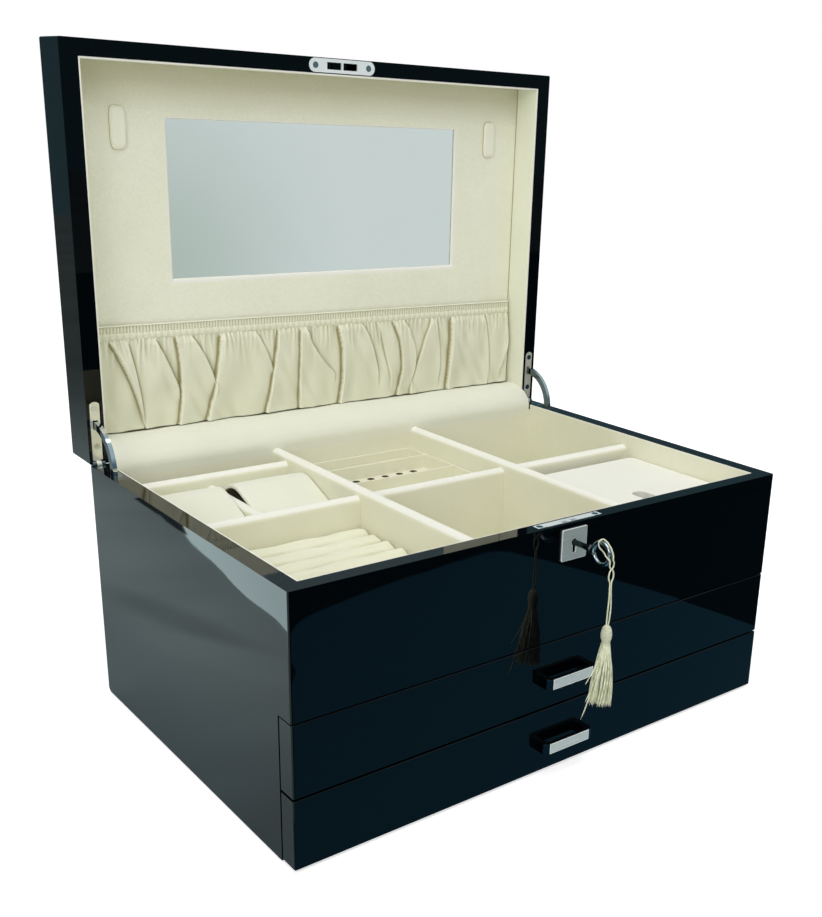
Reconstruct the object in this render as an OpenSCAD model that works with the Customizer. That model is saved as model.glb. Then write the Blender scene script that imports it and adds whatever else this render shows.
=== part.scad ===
// Lacquered jewelry box: a case with a lift-up lid, a lined tray and two drawers.
// Millimetres, +Z up, front towards -Y. The origin is the middle of the base.

/* [Case] */
// Outer width of the case and the lid
body_w = 380; // [376:1:384]
// Outer depth of the case and the lid, front to back
body_d = 260; // [258:1:262]
// Height of the case up to its rim
body_h = 164; // [163:1:166]
// Thickness of the left and right walls
side_t = 11; // [10.5:0.5:12]
// Thickness of the front and back walls
rail_t = 10; // [10:0.5:11]
// Thickness of the fabric-covered lining boards
lining_t = 1.2; // [1:0.1:1.5]

/* [Lid] */
// Height of the closed lid above the case rim
lid_h = 31.5; // [31:0.5:34]
// How far the lid stands open, from closed
open_angle = 89; // [85:1:92]
// Depth from the lid rim to the padded board inside
pad_depth = 23.5; // [22:0.5:24]

/* [Drawers] */
// Height that each drawer front covers
drawer_h = 45; // [44:0.5:45]
// Thickness of the drawer fronts
front_t = 13.5; // [12:0.5:15]
// Width of the bridge pulls
pull_w = 40; // [36:1:60]

/* [Tray] */
// Thickness of the padded dividers
divider_t = 8; // [6:1:8]
// Distance of the long dividers from the middle
divider_x = 60; // [58:1:62]
// Number of ring rolls
roll_count = 8; // [6:1:8]

/* [Lock] */
// Sideways place of the lock and key
lock_x = 1.5; // [0:0.5:3]
// Height of the key's axis
key_z = 152; // [151.5:0.5:152.5]
// Side of the square escutcheon
escutcheon_w = 20; // [18:1:22]

/* [Hidden] */

$fn = 48;
eps = 0.01; // overlap that keeps unions and cuts clean
corner_r = 1.2; // upright corners of the case and the lid
lacquer = [0.03, 0.05, 0.07];
velour = [0.87, 0.86, 0.76];
chrome = [0.82, 0.84, 0.86];
inside_brown = [0.5, 0.4, 0.24];

front_y = -body_d / 2;
back_y = body_d / 2;
half_w = body_w / 2;
inner_x = half_w - side_t; // inner face of the side walls
clear_x = inner_x - lining_t; // inner face of the linings
felt_t = 1; // felt under the base
panel_gap = 0.3; // gap between a moving panel and its neighbour
back_foot_r = 5; // lower back edge of the case
upper_z = 2 * drawer_h; // bottom edge of the fixed front

// the hinge line: top back edge of the case, halfway in the gap under the lid
lid_gap = 0.3;
hinge_z = body_h + lid_gap / 2;
lid_z = body_h + lid_gap; // rim of the closed lid
lid_top_z = body_h + lid_h;
top_t = 4.5; // board on top of the lid
lid_under_z = lid_top_z - top_t;
pad_z = lid_z + pad_depth; // face of the padded board when the lid is closed

// quadrant hinges
leaf_w = 8;
leaf_t = 1.5;
case_leaf_len = 34; // from the hinge line
lid_leaf_len = 42;
leaf_x = half_w - side_t / 2; // middle of the side wall
knuckle_r = 2.5;
pin_r = 1.25;
mid_knuckle_w = 3.2; // middle knuckle, on the lid leaf
stay_in = 24; // inner and outer radius of the curved stay
stay_out = 29;
stay_w = 2.8; // along the hinge line
stay_past = 8; // degrees that the stay runs on past each rim
lug_w = 4.6; // stop lug at each end of the stay, too wide for the slot in the leaf
lug_deg = 3;
stay_room = 0.6; // clear space round the stay in its mortise
screw_r = 1.1;
screw_head_r = 2.1;
screw_head_h = 1.1;
screw_len = 10;
case_leaf_screws = [8.5, 16]; // from the hinge line
lid_leaf_screws = [12, 37.5];

// tray
shelf_z = upper_z + 0.5;
shelf_t = 4;
floor_z = shelf_z + shelf_t + lining_t; // covered floor of the tray
back_face = body_d - rail_t - lining_t; // inner faces of the tray, measured from the front
front_face = rail_t + lining_t;
cross_f = 132; // front face of the cross dividers
rear_f = 226; // front face of the divider behind the watch pads
long_top_z = body_h - 4;
cross_top_z = body_h - 8.5;
separator_x = -122; // between the two watch pads
separator_top_z = body_h - 16;
cover_top_z = body_h - 16.4;
cover_t = 6;
insert_top_z = body_h - 20;
insert_floor_z = body_h - 30;
roll_r = 7.4;

// lid furniture, measured from the hinge line along the lid
mirror_w = 233;
mirror_from = 114;
mirror_to = 216.4;
mirror_t = 1.4;
cushion_x = 149;
cushion_from = 196.5;
cushion_len = 27;
cushion_w = 10.6;
cushion_t = 3;
pocket_from = 15.5;
pocket_to = 85;

// drawers
drawer_x = inner_x - 0.6; // outer face of the drawer sides
drawer_side_t = 8;
drawer_back_f = 246; // outer back face, measured from the front
drawer_base_t = 3;
pull_h = 7;
pull_out = 9; // how far a pull stands out
pull_t = 3;
pull_leg = 4;
pull_screw_r = 1.5;
pull_drop = 1.9; // how far a pull sits below the middle of its front

// lock
plate_w = 51;
plate_t = 1.2;
plate_f = 3.2; // front edge of the lock plate, measured from the front
plate_d = 5.4;
lock_w = 38;
lock_bottom_z = body_h - 24;
lock_f = 2.8;
lock_d = 6;
lock_wall = 0.8;
lock_screw_x = 22.3;
claw_px = 11; // pivot of a claw, from the middle of the lock
claw_pz = body_h - 4.5;
claw_in = 7.4;
claw_out = 9.8;
claw_f = 3.95; // front face of the claws, measured from the front
claw_d = 2;
claw_swing = 105;
catch_w = 52;
catch_f = 5; // middle of the catch plate, measured from the front
catch_screw_x = 21;
catch_d = 9;
catch_t = 1.2;
catch_bar = 1.4; // bar between the two openings of the catch plate
catch_open_w = 11.3;
catch_open_d = 4.6;

// key
shank_r = 1.8;
bow_y = front_y - 24.5;
bow_r = 6.7;
bow_wire_r = 1.3;
bit_r = 6.4;

// tassel
cord_d = 0.95;
head_x = 1.1;
tassel_y = front_y - 33.3;
head_top_z = 110;
skirt_top_z = 98.5;
skirt_low_z = 53;

// the cord's route: up from the head, through the bow, over it and down again
cord_route = [
  [0.5, -163.3, 109.2], [0.6, -163.3, 114.0], [0.9, -163.3, 120.0],
  [1.2, -163.3, 127.0], [1.1, -163.3, 133.0], [0.9, -163.3, 136.6],
  [0.0, -163.3, 138.6], [-0.4, -163.3, 140.9], [0.1, -163.3, 143.2],
  [1.0, -163.3, 144.9], [0.1, -163.3, 146.4], [-0.2, -163.3, 148.3],
  [-0.1, -163.3, 149.9], [-0.7, -162.5, 151.4], [-0.6, -160.3, 152.3],
  [0.5, -157.6, 153.3], [1.0, -155.1, 154.2], [0.2, -153.6, 155.8],
  [-0.6, -153.5, 158.2], [0.0, -153.9, 160.2], [1.4, -155.2, 161.0],
  [1.6, -157.8, 160.3], [1.6, -160.4, 158.6], [1.8, -162.4, 156.1],
  [2.1, -163.4, 153.3], [2.1, -163.6, 150.6], [3.1, -163.4, 148.5],
  [2.9, -163.3, 146.4], [2.1, -163.3, 144.9], [3.1, -163.3, 143.1],
  [3.5, -163.3, 140.9], [3.1, -163.3, 138.6], [2.2, -163.3, 136.6],
  [2.3, -163.3, 132.0], [2.9, -163.3, 125.0], [3.1, -163.3, 119.0],
  [2.6, -163.3, 113.0], [1.8, -163.3, 109.2]
];

// ---- helpers ----

// a y position given as a distance back from the front face
function from_front(f) = front_y + f;

// a box between two corners
module span(low, high) {
  translate(low) cube(high - low);
}

// flat outline w by d with round corners, centred
module round_plan(w, d, r) {
  square([w - 2 * r, d], center = true);
  square([w, d - 2 * r], center = true);
  for (sx = [-1, 1], sy = [-1, 1])
    translate([sx * (w / 2 - r), sy * (d / 2 - r)]) circle(r);
}

// a profile drawn in (y, z) run along x between two x positions
module along_x(x0, x1) {
  translate([x0, 0, 0]) rotate([90, 0, 90]) linear_extrude(x1 - x0) children();
}

// moves what is drawn in the closed place to the open lid
module on_open_lid() {
  translate([0, back_y, hinge_z])
    rotate([-open_angle, 0, 0])
      translate([0, -back_y, -hinge_z]) children();
}

// part of a ring about the hinge line; angles run from the front towards up
module hinge_arc(r_in, r_out, w, from, to) {
  rotate([90, 0, -90])
    rotate([0, 0, from])
      rotate_extrude(angle = to - from) translate([r_in, -w / 2]) square([r_out - r_in, w]);
}

// both sides of what is drawn for the right side
module both_sides() {
  children();
  mirror([1, 0, 0]) children();
}

// a countersunk wood screw, its flat head level with z = 0
module screw() {
  translate([0, 0, -screw_head_h]) cylinder(r1 = screw_r, r2 = screw_head_r, h = screw_head_h);
  translate([0, 0, -screw_len]) cylinder(r = screw_r, h = screw_len - screw_head_h + eps);
}

// the hole that the screw goes in, a little larger all round
module screw_hole() {
  gap = 0.05;
  translate([0, 0, -screw_head_h])
    cylinder(r1 = screw_r + gap, r2 = screw_head_r + gap, h = screw_head_h + eps);
  translate([0, 0, -screw_len - 0.5]) cylinder(r = screw_r + gap, h = screw_len);
}

// the outer outline of the box, with round corners, for trimming the panels
module outline() {
  linear_extrude(lid_top_z) round_plan(body_w, body_d, corner_r);
}

// a divider with a half-round top, along y
module divider_y(x, f0, f1, low_z, top_z, thick) {
  r = thick / 2;
  span([x - r, from_front(f0), low_z], [x + r, from_front(f1), top_z - r]);
  translate([x, from_front(f0), top_z - r]) rotate([-90, 0, 0]) cylinder(r = r, h = f1 - f0);
}

// a divider with a half-round top, along x
module divider_x_way(f, x0, x1, low_z, top_z, thick) {
  r = thick / 2;
  span([x0, from_front(f), low_z], [x1, from_front(f) + thick, top_z - r]);
  translate([x0, from_front(f) + r, top_z - r]) rotate([0, 90, 0]) cylinder(r = r, h = x1 - x0);
}

// ---- case ----

// room in the right wall of the case for a leaf of that length, its screws, the stay and the knuckles
module hinge_room(len, screws) {
  translate([leaf_x, back_y, hinge_z]) {
    // recess for the leaf
    translate([0, 0, -lid_gap / 2 - leaf_t]) {
      translate([-leaf_w / 2, -len + leaf_w / 2, 0]) cube([leaf_w, len - leaf_w / 2 + 1, leaf_t + 1]);
      translate([0, -len + leaf_w / 2, 0]) cylinder(r = leaf_w / 2, h = leaf_t + 1);
    }
    // curved mortise for the stay
    hinge_arc(stay_in - stay_room, stay_out + stay_room, lug_w + stay_room, -56, 2);
    // room round the knuckles
    rotate([0, 90, 0]) cylinder(r = knuckle_r + 0.5, h = leaf_w + 0.8, center = true);
    for (l = screws) translate([0, -l, -lid_gap / 2]) screw_hole();
  }
}

// what the rounded lower back edge takes off the case, between two x positions
module back_foot(x0, x1) {
  difference() {
    span([x0, back_y - back_foot_r, 0], [x1, back_y + 1, felt_t + back_foot_r]);
    translate([x0 - 1, back_y - back_foot_r, felt_t + back_foot_r])
      rotate([0, 90, 0]) cylinder(r = back_foot_r, h = x1 - x0 + 2);
  }
}

module side_wall() {
  difference() {
    intersection() {
      along_x(inner_x, half_w) polygon([
        [front_y, upper_z + panel_gap], [from_front(front_t + panel_gap), upper_z + panel_gap],
        [from_front(front_t + panel_gap), felt_t], [back_y, felt_t], [back_y, body_h],
        [front_y, body_h]
      ]);
      outline();
    }
    hinge_room(case_leaf_len, case_leaf_screws);
    back_foot(inner_x - 1, half_w + 1);
  }
}

module left_side() {
  color(lacquer) mirror([1, 0, 0]) side_wall();
}

module right_side() {
  color(lacquer) side_wall();
}

// keyhole: a round hole with a slot under it, run from front_y inwards
module keyhole(depth, r, slot_w, slot_low) {
  translate([lock_x, front_y - 3, key_z]) rotate([-90, 0, 0]) cylinder(r = r, h = depth + 3);
  span([lock_x - slot_w / 2, front_y - 3, slot_low], [lock_x + slot_w / 2, front_y + depth, key_z]);
}

module front_rail() {
  color(lacquer) difference() {
    span([-inner_x, front_y, upper_z + panel_gap], [inner_x, from_front(rail_t), body_h]);
    span([lock_x - lock_w / 2 - 0.1, from_front(lock_f) - 0.1, lock_bottom_z - 0.1],
      [lock_x + lock_w / 2 + 0.1, from_front(lock_f + lock_d) + 0.1, body_h + 1]);
    span([lock_x - plate_w / 2, from_front(plate_f), body_h - plate_t],
      [lock_x + plate_w / 2, from_front(plate_f + plate_d), body_h + 1]);
    keyhole(lock_f + 1, 2.6, 3.2, key_z - bit_r - 0.6);
    for (s = [-1, 1]) translate([lock_x + s * lock_screw_x, from_front(plate_f + plate_d / 2), body_h])
      screw_hole();
  }
}

module back_panel() {
  color(lacquer) difference() {
    span([-inner_x, back_y - rail_t, felt_t], [inner_x, back_y, body_h]);
    back_foot(-half_w, half_w);
  }
}

module tray_shelf() {
  color(lacquer) span([-inner_x, from_front(rail_t), shelf_z], [inner_x, back_y - rail_t, shelf_z + shelf_t]);
}

module drawer_shelf() {
  color(lacquer) span([-inner_x, from_front(front_t + panel_gap), drawer_h - 2],
    [inner_x, back_y - rail_t, drawer_h + 2]);
}

module bottom_panel() {
  color(lacquer) span([-inner_x, from_front(front_t + panel_gap), felt_t],
    [inner_x, back_y - rail_t, felt_t + 6]);
}

module base_felt() {
  color([0.05, 0.05, 0.06]) translate([0, 3, 0])
    linear_extrude(felt_t) round_plan(body_w - 8, body_d - 24, 4);
}

// ---- tray ----

module tray_lining() {
  color(velour) difference() {
    span([-inner_x, from_front(rail_t), shelf_z + shelf_t], [inner_x, back_y - rail_t, body_h - 0.2]);
    span([-clear_x, from_front(front_face), floor_z], [clear_x, from_front(back_face), body_h]);
    // the back board stops under the padded hinge strip
    span([-inner_x - 1, from_front(back_face) - 1, body_h - 4.4], [inner_x + 1, back_y, body_h + 1]);
  }
}

module long_dividers() {
  color(velour) for (s = [-1, 1])
    divider_y(s * divider_x, front_face, back_face, floor_z, long_top_z, divider_t);
}

module cross_dividers() {
  near = divider_x - divider_t / 2;
  far = divider_x + divider_t / 2;
  color(velour) {
    divider_x_way(cross_f, -clear_x, -far, floor_z, cross_top_z, divider_t);
    divider_x_way(cross_f, -near, near, floor_z, cross_top_z, divider_t);
    divider_x_way(cross_f, far, clear_x, floor_z, cross_top_z, divider_t);
    divider_x_way(rear_f, -clear_x, -far, floor_z, cross_top_z, divider_t);
  }
}

module watch_separator() {
  color(velour) divider_y(separator_x, cross_f + divider_t, rear_f, floor_z, separator_top_z, 7);
}

module ring_rolls() {
  left = -clear_x + 0.3;
  right = -divider_x - divider_t / 2 - 0.3;
  pitch = (cross_f - front_face - 0.6) / roll_count;
  roll_z = body_h - 27 - roll_r;
  color(velour) {
    span([left, from_front(front_face) + 0.3, floor_z],
      [right, from_front(cross_f) - 0.3, roll_z + roll_r - 3.4]);
    for (i = [0:roll_count - 1])
      translate([left, from_front(front_face + 0.3 + pitch * (i + 0.5)), roll_z])
        rotate([0, 90, 0]) cylinder(r = min(roll_r, pitch / 2), h = right - left);
  }
}

// a shallow board tray with two rails and a row of earring holes
module earring_insert() {
  x = divider_x - divider_t / 2 - 0.2;
  low_f = cross_f + divider_t + 0.2;
  high_f = back_face - 0.2;
  board = 2;
  rails = [189, 224.5];
  hole_r = 2.8;
  hole_pitch = 12.7;
  color(velour) difference() {
    span([-x, from_front(low_f), floor_z], [x, from_front(high_f), insert_top_z]);
    // room underneath, so that it stands on its two side boards
    span([-x + board, from_front(low_f) - 1, floor_z - 1],
      [x - board, from_front(high_f) + 1, insert_floor_z - 4]);
    // three cells between the rims and the rails
    for (c = [[low_f + board, rails[0]], [rails[0] + board, rails[1]], [rails[1] + board, high_f - board]])
      span([-x + board, from_front(c[0]), insert_floor_z], [x - board, from_front(c[1]), insert_top_z + 1]);
    // the row of holes, close to the back rail
    for (i = [0:7]) translate([-49.4 + i * hole_pitch, from_front(rails[1] - 4), insert_floor_z - 5])
      cylinder(r = hole_r, h = 6);
  }
}

// ledges that the lift-out cover rests on
module cover_cleats() {
  top = cover_top_z - cover_t;
  x0 = divider_x + divider_t / 2;
  color(velour) {
    span([x0, from_front(front_face), top - 6], [x0 + 4, from_front(cross_f), top]);
    span([clear_x - 4, from_front(front_face), top - 6], [clear_x, from_front(cross_f), top]);
  }
}

module tray_cover() {
  x0 = divider_x + divider_t / 2 + 0.6;
  x1 = clear_x - 0.6;
  f0 = front_face + 0.6;
  f1 = cross_f - 7;
  color(velour) translate([0, 0, cover_top_z - cover_t + panel_gap]) difference() {
    translate([(x0 + x1) / 2, from_front((f0 + f1) / 2), 0])
      linear_extrude(cover_t) round_plan(x1 - x0, f1 - f0, 6);
    // finger slot
    translate([115, from_front(50), -1]) linear_extrude(cover_t + 2) round_plan(12, 20, 5.9);
  }
}

// outline of a watch pad: a tilted flat ring, in (y, z), cut open underneath
module pad_profile() {
  pad_r = 22.8;
  skin = 2.6;
  tilt = 21.3;
  reach = 33.2;
  translate([from_front(201.5), body_h - 10.2 - pad_r]) rotate(tilt) difference() {
    union() {
      circle(pad_r);
      translate([-reach, -pad_r]) square([reach, 2 * pad_r]);
      translate([-reach, 0]) circle(pad_r);
    }
    circle(pad_r - skin);
    translate([-reach, -pad_r + skin]) square([reach, 2 * (pad_r - skin)]);
    translate([-reach, 0]) circle(pad_r - skin);
    translate([-10, -pad_r]) square([24, 10], center = true);
  }
}

module watch_pad_left() {
  color(velour) along_x(-clear_x + 0.6, separator_x - 4.1) pad_profile();
}

module watch_pad_right() {
  color(velour) along_x(separator_x + 4.1, -divider_x - divider_t / 2 - 0.6) pad_profile();
}

// ---- lock ----

// moves a claw's drawing to the pivot of the right claw, seen from the front
module at_claw_pivot() {
  translate([lock_x + claw_px, from_front(claw_f), claw_pz]) rotate([90, 0, 0]) children();
}

module lock_case() {
  x0 = lock_x - lock_w / 2;
  x1 = lock_x + lock_w / 2;
  y0 = from_front(lock_f);
  y1 = from_front(lock_f + lock_d);
  top = body_h - plate_t;
  color(chrome) {
    difference() {
      span([x0, y0, lock_bottom_z], [x1, y1, top]);
      span([x0 + lock_wall, y0 + lock_wall, lock_bottom_z + lock_wall],
        [x1 - lock_wall, y1 - lock_wall, top + 1]);
      keyhole(lock_f + lock_wall + 0.5, 2.2, 2.6, key_z - bit_r - 0.4);
      // bearing for the key's nose
      translate([lock_x, y0, key_z]) rotate([-90, 0, 0]) cylinder(r = shank_r + 0.08, h = lock_d + 1);
    }
    for (s = [-1, 1]) translate([lock_x + s * claw_px, y0 + eps, claw_pz])
      rotate([-90, 0, 0]) cylinder(r = 1, h = lock_d - 2 * eps);
  }
}

module lock_plate() {
  color(chrome) difference() {
    span([lock_x - plate_w / 2, from_front(plate_f), body_h - plate_t],
      [lock_x + plate_w / 2, from_front(plate_f + plate_d), body_h]);
    for (s = [-1, 1]) {
      translate([lock_x + s * 3.55, from_front(claw_f + claw_d / 2), body_h])
        cube([4.9, claw_d + 0.8, 4], center = true);
      translate([lock_x + s * lock_screw_x, from_front(plate_f + plate_d / 2), body_h]) screw_hole();
    }
  }
}

// a curved claw that swings up through the lock plate about its pivot
module claw_right() {
  color(chrome) at_claw_pivot() mirror([0, 0, 1]) difference() {
    union() {
      rotate([0, 0, 167]) rotate_extrude(angle = 128)
        translate([claw_in, 0]) square([claw_out - claw_in, claw_d]);
      cylinder(r = 2.2, h = claw_d);
      rotate([0, 0, 283]) translate([1.2, -1.3, 0]) cube([claw_in - 0.6, 2.6, claw_d]);
    }
    translate([0, 0, -1]) cylinder(r = 1.06, h = claw_d + 2);
  }
}

module claw_left() {
  translate([lock_x, 0, 0]) mirror([1, 0, 0]) translate([-lock_x, 0, 0]) claw_right();
}

module escutcheon() {
  color(chrome) difference() {
    translate([lock_x, front_y, key_z - 1]) rotate([90, 0, 0])
      linear_extrude(1.2) round_plan(escutcheon_w, escutcheon_w, 1);
    keyhole(1, 2.2, 2.4, key_z - bit_r - 0.2);
  }
}

module key() {
  bit_front = from_front(claw_f + claw_d) + 0.3;
  bit_back = from_front(lock_f + lock_d - lock_wall) - 0.3;
  color(chrome) {
    // shank, with its nose in the back of the lock
    translate([lock_x, bow_y + bow_r, key_z]) rotate([-90, 0, 0])
      cylinder(r = shank_r, h = from_front(lock_f + lock_d) - bow_y - bow_r);
    // collar next to the bow
    translate([lock_x, bow_y + bow_r + 1, key_z]) rotate([-90, 0, 0]) {
      cylinder(r1 = 2.3, r2 = 3, h = 1);
      translate([0, 0, 1]) cylinder(r = 3, h = 1.2);
    }
    // ring bow
    translate([lock_x, bow_y, key_z]) rotate([0, 90, 0])
      rotate_extrude() translate([bow_r, 0]) circle(bow_wire_r);
    // bit, with a ward notch in its front edge
    difference() {
      span([lock_x - 0.9, bit_front, key_z - bit_r], [lock_x + 0.9, bit_back, key_z - 1]);
      span([lock_x - 1, bit_front - 1, key_z - 4.6], [lock_x + 1, bit_front + 0.6, key_z - 3.6]);
    }
  }
}

// ---- tassel ----

function unit(v) = v / norm(v);

// a point between p[1] and p[2] on the smooth curve through p, at t from 0 to 1
function on_curve(p, t) = 0.5 * (2 * p[1] + (p[2] - p[0]) * t
  + (2 * p[0] - 5 * p[1] + 4 * p[2] - p[3]) * t * t
  + (3 * p[1] - p[0] - 3 * p[2] + p[3]) * t * t * t);

function smooth(route, steps) = [
  for (i = [0:len(route) - 2], s = [0:steps - 1])
    on_curve([for (k = [-1:2]) route[min(max(i + k, 0), len(route) - 1)]], s / steps),
  route[len(route) - 1]
];

// direction of the line at each point
function headings(line) = [
  for (i = [0:len(line) - 1]) unit(line[min(i + 1, len(line) - 1)] - line[max(i - 1, 0)])
];

// a side direction carried along the line, turned as little as the line allows
function carried(dirs, i = 0, side = [0, 1, 0]) =
  let (s = unit(side - dirs[i] * (side * dirs[i])))
  i == len(dirs) - 1 ? [s] : concat([s], carried(dirs, i + 1, s));

// a round cord along a line of points, with flat ends
module cord(line, d, sides) {
  n = len(line);
  dirs = headings(line);
  across = carried(dirs);
  points = [
    for (i = [0:n - 1], k = [0:sides - 1])
      line[i] + d / 2 * (cos(360 * k / sides) * across[i]
        + sin(360 * k / sides) * cross(dirs[i], across[i]))
  ];
  walls = [
    for (i = [0:n - 2], k = [0:sides - 1])
      let (a = i * sides + k, b = i * sides + (k + 1) % sides)
      each [[a, b + sides, b], [a, a + sides, b + sides]]
  ];
  caps = [[for (k = [0:sides - 1]) k], [for (k = [sides - 1:-1:0]) (n - 1) * sides + k]];
  polyhedron(points, concat(walls, caps));
}

module tassel_cord() {
  color(velour) cord(smooth(cord_route, 2), cord_d, 8);
}

// wound head, round-shouldered, with a tied neck
module tassel_head() {
  color(velour) translate([head_x, tassel_y, skirt_top_z]) {
    cylinder(r1 = 2.7, r2 = 3.4, h = 4.5);
    translate([0, 0, 4.5]) cylinder(r = 3.4, h = 3);
    translate([0, 0, 7.5]) cylinder(r1 = 3.4, r2 = 1.6, h = head_top_z - skirt_top_z - 7.5);
  }
}

module tassel_skirt() {
  color(velour) hull() {
    translate([head_x, tassel_y, skirt_top_z - 1]) cylinder(r = 2.7, h = 1, $fn = 32);
    translate([-1, tassel_y, skirt_low_z + 4]) rotate([0, -22, 0])
      scale([1, 0.5, 1]) cylinder(r = 11, h = 1, $fn = 32);
  }
}

// ---- hinges ----

// the plate of a leaf let into the right wall of the case; the lid's lies the other way up
module leaf_plate(len, screws) {
  difference() {
    translate([0, 0, -lid_gap / 2 - leaf_t]) {
      translate([-leaf_w / 2, -len + leaf_w / 2, 0]) cube([leaf_w, len - leaf_w / 2, leaf_t]);
      translate([0, -len + leaf_w / 2, 0]) cylinder(r = leaf_w / 2, h = leaf_t);
    }
    // slot for the stay
    translate([0, -(stay_in + stay_out) / 2, -1])
      cube([stay_w + stay_room, stay_out - stay_in + 2 * stay_room, 4], center = true);
    for (l = screws) translate([0, -l, -lid_gap / 2]) screw_hole();
  }
}

module knuckle(x0, x1, r) {
  translate([x0, 0, 0]) rotate([0, 90, 0]) cylinder(r = r, h = x1 - x0);
}

module case_leaf() {
  gap = mid_knuckle_w / 2 + 0.3;
  difference() {
    union() {
      difference() {
        leaf_plate(case_leaf_len, case_leaf_screws);
        knuckle(-gap, gap, knuckle_r + 0.4);
      }
      for (s = [-1, 1]) knuckle(min(s * gap, s * leaf_w / 2), max(s * gap, s * leaf_w / 2), knuckle_r);
    }
    knuckle(-leaf_w, leaf_w, pin_r + 0.02);
  }
}

module lid_leaf() {
  half = mid_knuckle_w / 2;
  difference() {
    union() {
      difference() {
        leaf_plate(lid_leaf_len, lid_leaf_screws);
        for (s = [-1, 1]) knuckle(min(s * half, s * leaf_w), max(s * half, s * leaf_w), knuckle_r + 0.4);
      }
      knuckle(-half, half, knuckle_r);
    }
    knuckle(-leaf_w, leaf_w, pin_r + 0.06);
  }
}

module case_hinge_leaves() {
  color(chrome) both_sides() translate([leaf_x, back_y, hinge_z]) case_leaf();
}

module lid_hinge_leaves() {
  color(chrome) on_open_lid() both_sides() translate([leaf_x, back_y, hinge_z])
    mirror([0, 0, 1]) lid_leaf();
}

module hinge_pins() {
  color(chrome) both_sides() translate([leaf_x, back_y, hinge_z])
    knuckle(-leaf_w / 2 - 0.2, leaf_w / 2 + 0.2, pin_r);
}

// curved stay: slides in both walls and stops the lid when open
module stay() {
  color(chrome) translate([leaf_x, back_y, hinge_z]) {
    hinge_arc(stay_in, stay_out, stay_w, -stay_past, open_angle + stay_past);
    for (a = [-stay_past + 0.4, open_angle + stay_past - lug_deg - 0.4])
      hinge_arc(stay_in + 0.3, stay_out - 0.3, lug_w, a, a + lug_deg);
  }
}

module stay_right() {
  stay();
}

module stay_left() {
  mirror([1, 0, 0]) stay();
}

module case_screws() {
  color(chrome) {
    both_sides() for (l = case_leaf_screws)
      translate([leaf_x, back_y - l, body_h]) screw();
    for (s = [-1, 1])
      translate([lock_x + s * lock_screw_x, from_front(plate_f + plate_d / 2), body_h]) screw();
  }
}

module lid_screws() {
  color(chrome) on_open_lid() {
    both_sides() for (l = lid_leaf_screws)
      translate([leaf_x, back_y - l, lid_z]) mirror([0, 0, 1]) screw();
    for (s = [-1, 1]) translate([lock_x + s * catch_screw_x, from_front(catch_f), lid_z])
      mirror([0, 0, 1]) screw();
  }
}

// padded strip that covers the gap between case and lid; it folds in when the lid closes
module hinge_gusset() {
  face = back_face - 1.4;
  color(velour) along_x(-inner_x + 1.6, inner_x - 1.6) polygon([
    [from_front(face), body_h - 4], [from_front(back_face - 0.1), body_h - 4],
    [from_front(back_face - 0.1), body_h + 0.2], [back_y - 0.5, body_h + 0.2],
    [back_y - 0.5, body_h + 10.4], [back_y + 23, body_h + 10.9], [back_y + 23, body_h + 13.2],
    [back_y + 13.7, body_h + 14.9], [back_y + 2.2, body_h + 13.9], [back_y - 3.4, body_h + 11.7],
    [back_y - 7.2, body_h + 6.5], [back_y - 9.4, body_h + 1.8],
    [from_front(face) + 0.6, body_h + 0.6]
  ]);
}

// ---- lid ----

module lid_front() {
  color(lacquer) on_open_lid() difference() {
    span([-inner_x, front_y, lid_z], [inner_x, from_front(rail_t), lid_under_z]);
    // recess and hollow for the catch
    translate([lock_x, from_front(catch_f), lid_z - 1])
      linear_extrude(catch_t + 1) round_plan(catch_w, catch_d, catch_d / 2 - 0.1);
    translate([lock_x, from_front(catch_f), lid_z + 3.5]) cube([34, catch_open_d, 9], center = true);
    for (s = [-1, 1]) translate([lock_x + s * catch_screw_x, from_front(catch_f), lid_z])
      mirror([0, 0, 1]) screw_hole();
  }
}

module lid_back() {
  color(lacquer) on_open_lid()
    span([-inner_x, back_y - rail_t, lid_z], [inner_x, back_y, lid_under_z]);
}

module lid_sides() {
  color(lacquer) on_open_lid() both_sides() difference() {
    intersection() {
      span([inner_x, front_y, lid_z], [half_w, back_y, lid_under_z]);
      outline();
    }
    translate([0, 0, hinge_z]) mirror([0, 0, 1]) translate([0, 0, -hinge_z])
      hinge_room(lid_leaf_len, lid_leaf_screws);
  }
}

module lid_top() {
  color(lacquer) on_open_lid() translate([0, 0, lid_under_z])
    linear_extrude(top_t) round_plan(body_w, body_d, corner_r);
}

module lid_lining() {
  color(velour) on_open_lid() difference() {
    span([-inner_x, from_front(rail_t), lid_z + 0.2], [inner_x, back_y - rail_t, pad_z]);
    span([-clear_x, from_front(front_face), lid_z - 1], [clear_x, back_y, pad_z + 1]);
  }
}

module lid_pad() {
  color(velour) on_open_lid() difference() {
    span([-inner_x, from_front(rail_t), pad_z], [inner_x, back_y - rail_t, lid_under_z]);
    span([-mirror_w / 2, back_y - mirror_to, pad_z - 1],
      [mirror_w / 2, back_y - mirror_from, lid_under_z + 1]);
  }
}

module lid_mirror() {
  color([0.75, 0.8, 0.8]) on_open_lid()
    span([-mirror_w / 2, back_y - mirror_to, lid_under_z - mirror_t],
      [mirror_w / 2, back_y - mirror_from, lid_under_z]);
}

module lid_cushions() {
  color(velour) on_open_lid() both_sides()
    translate([cushion_x, back_y - cushion_from - cushion_len / 2, pad_z - cushion_t])
      linear_extrude(cushion_t) round_plan(cushion_w, cushion_len, 3);
}

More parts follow.
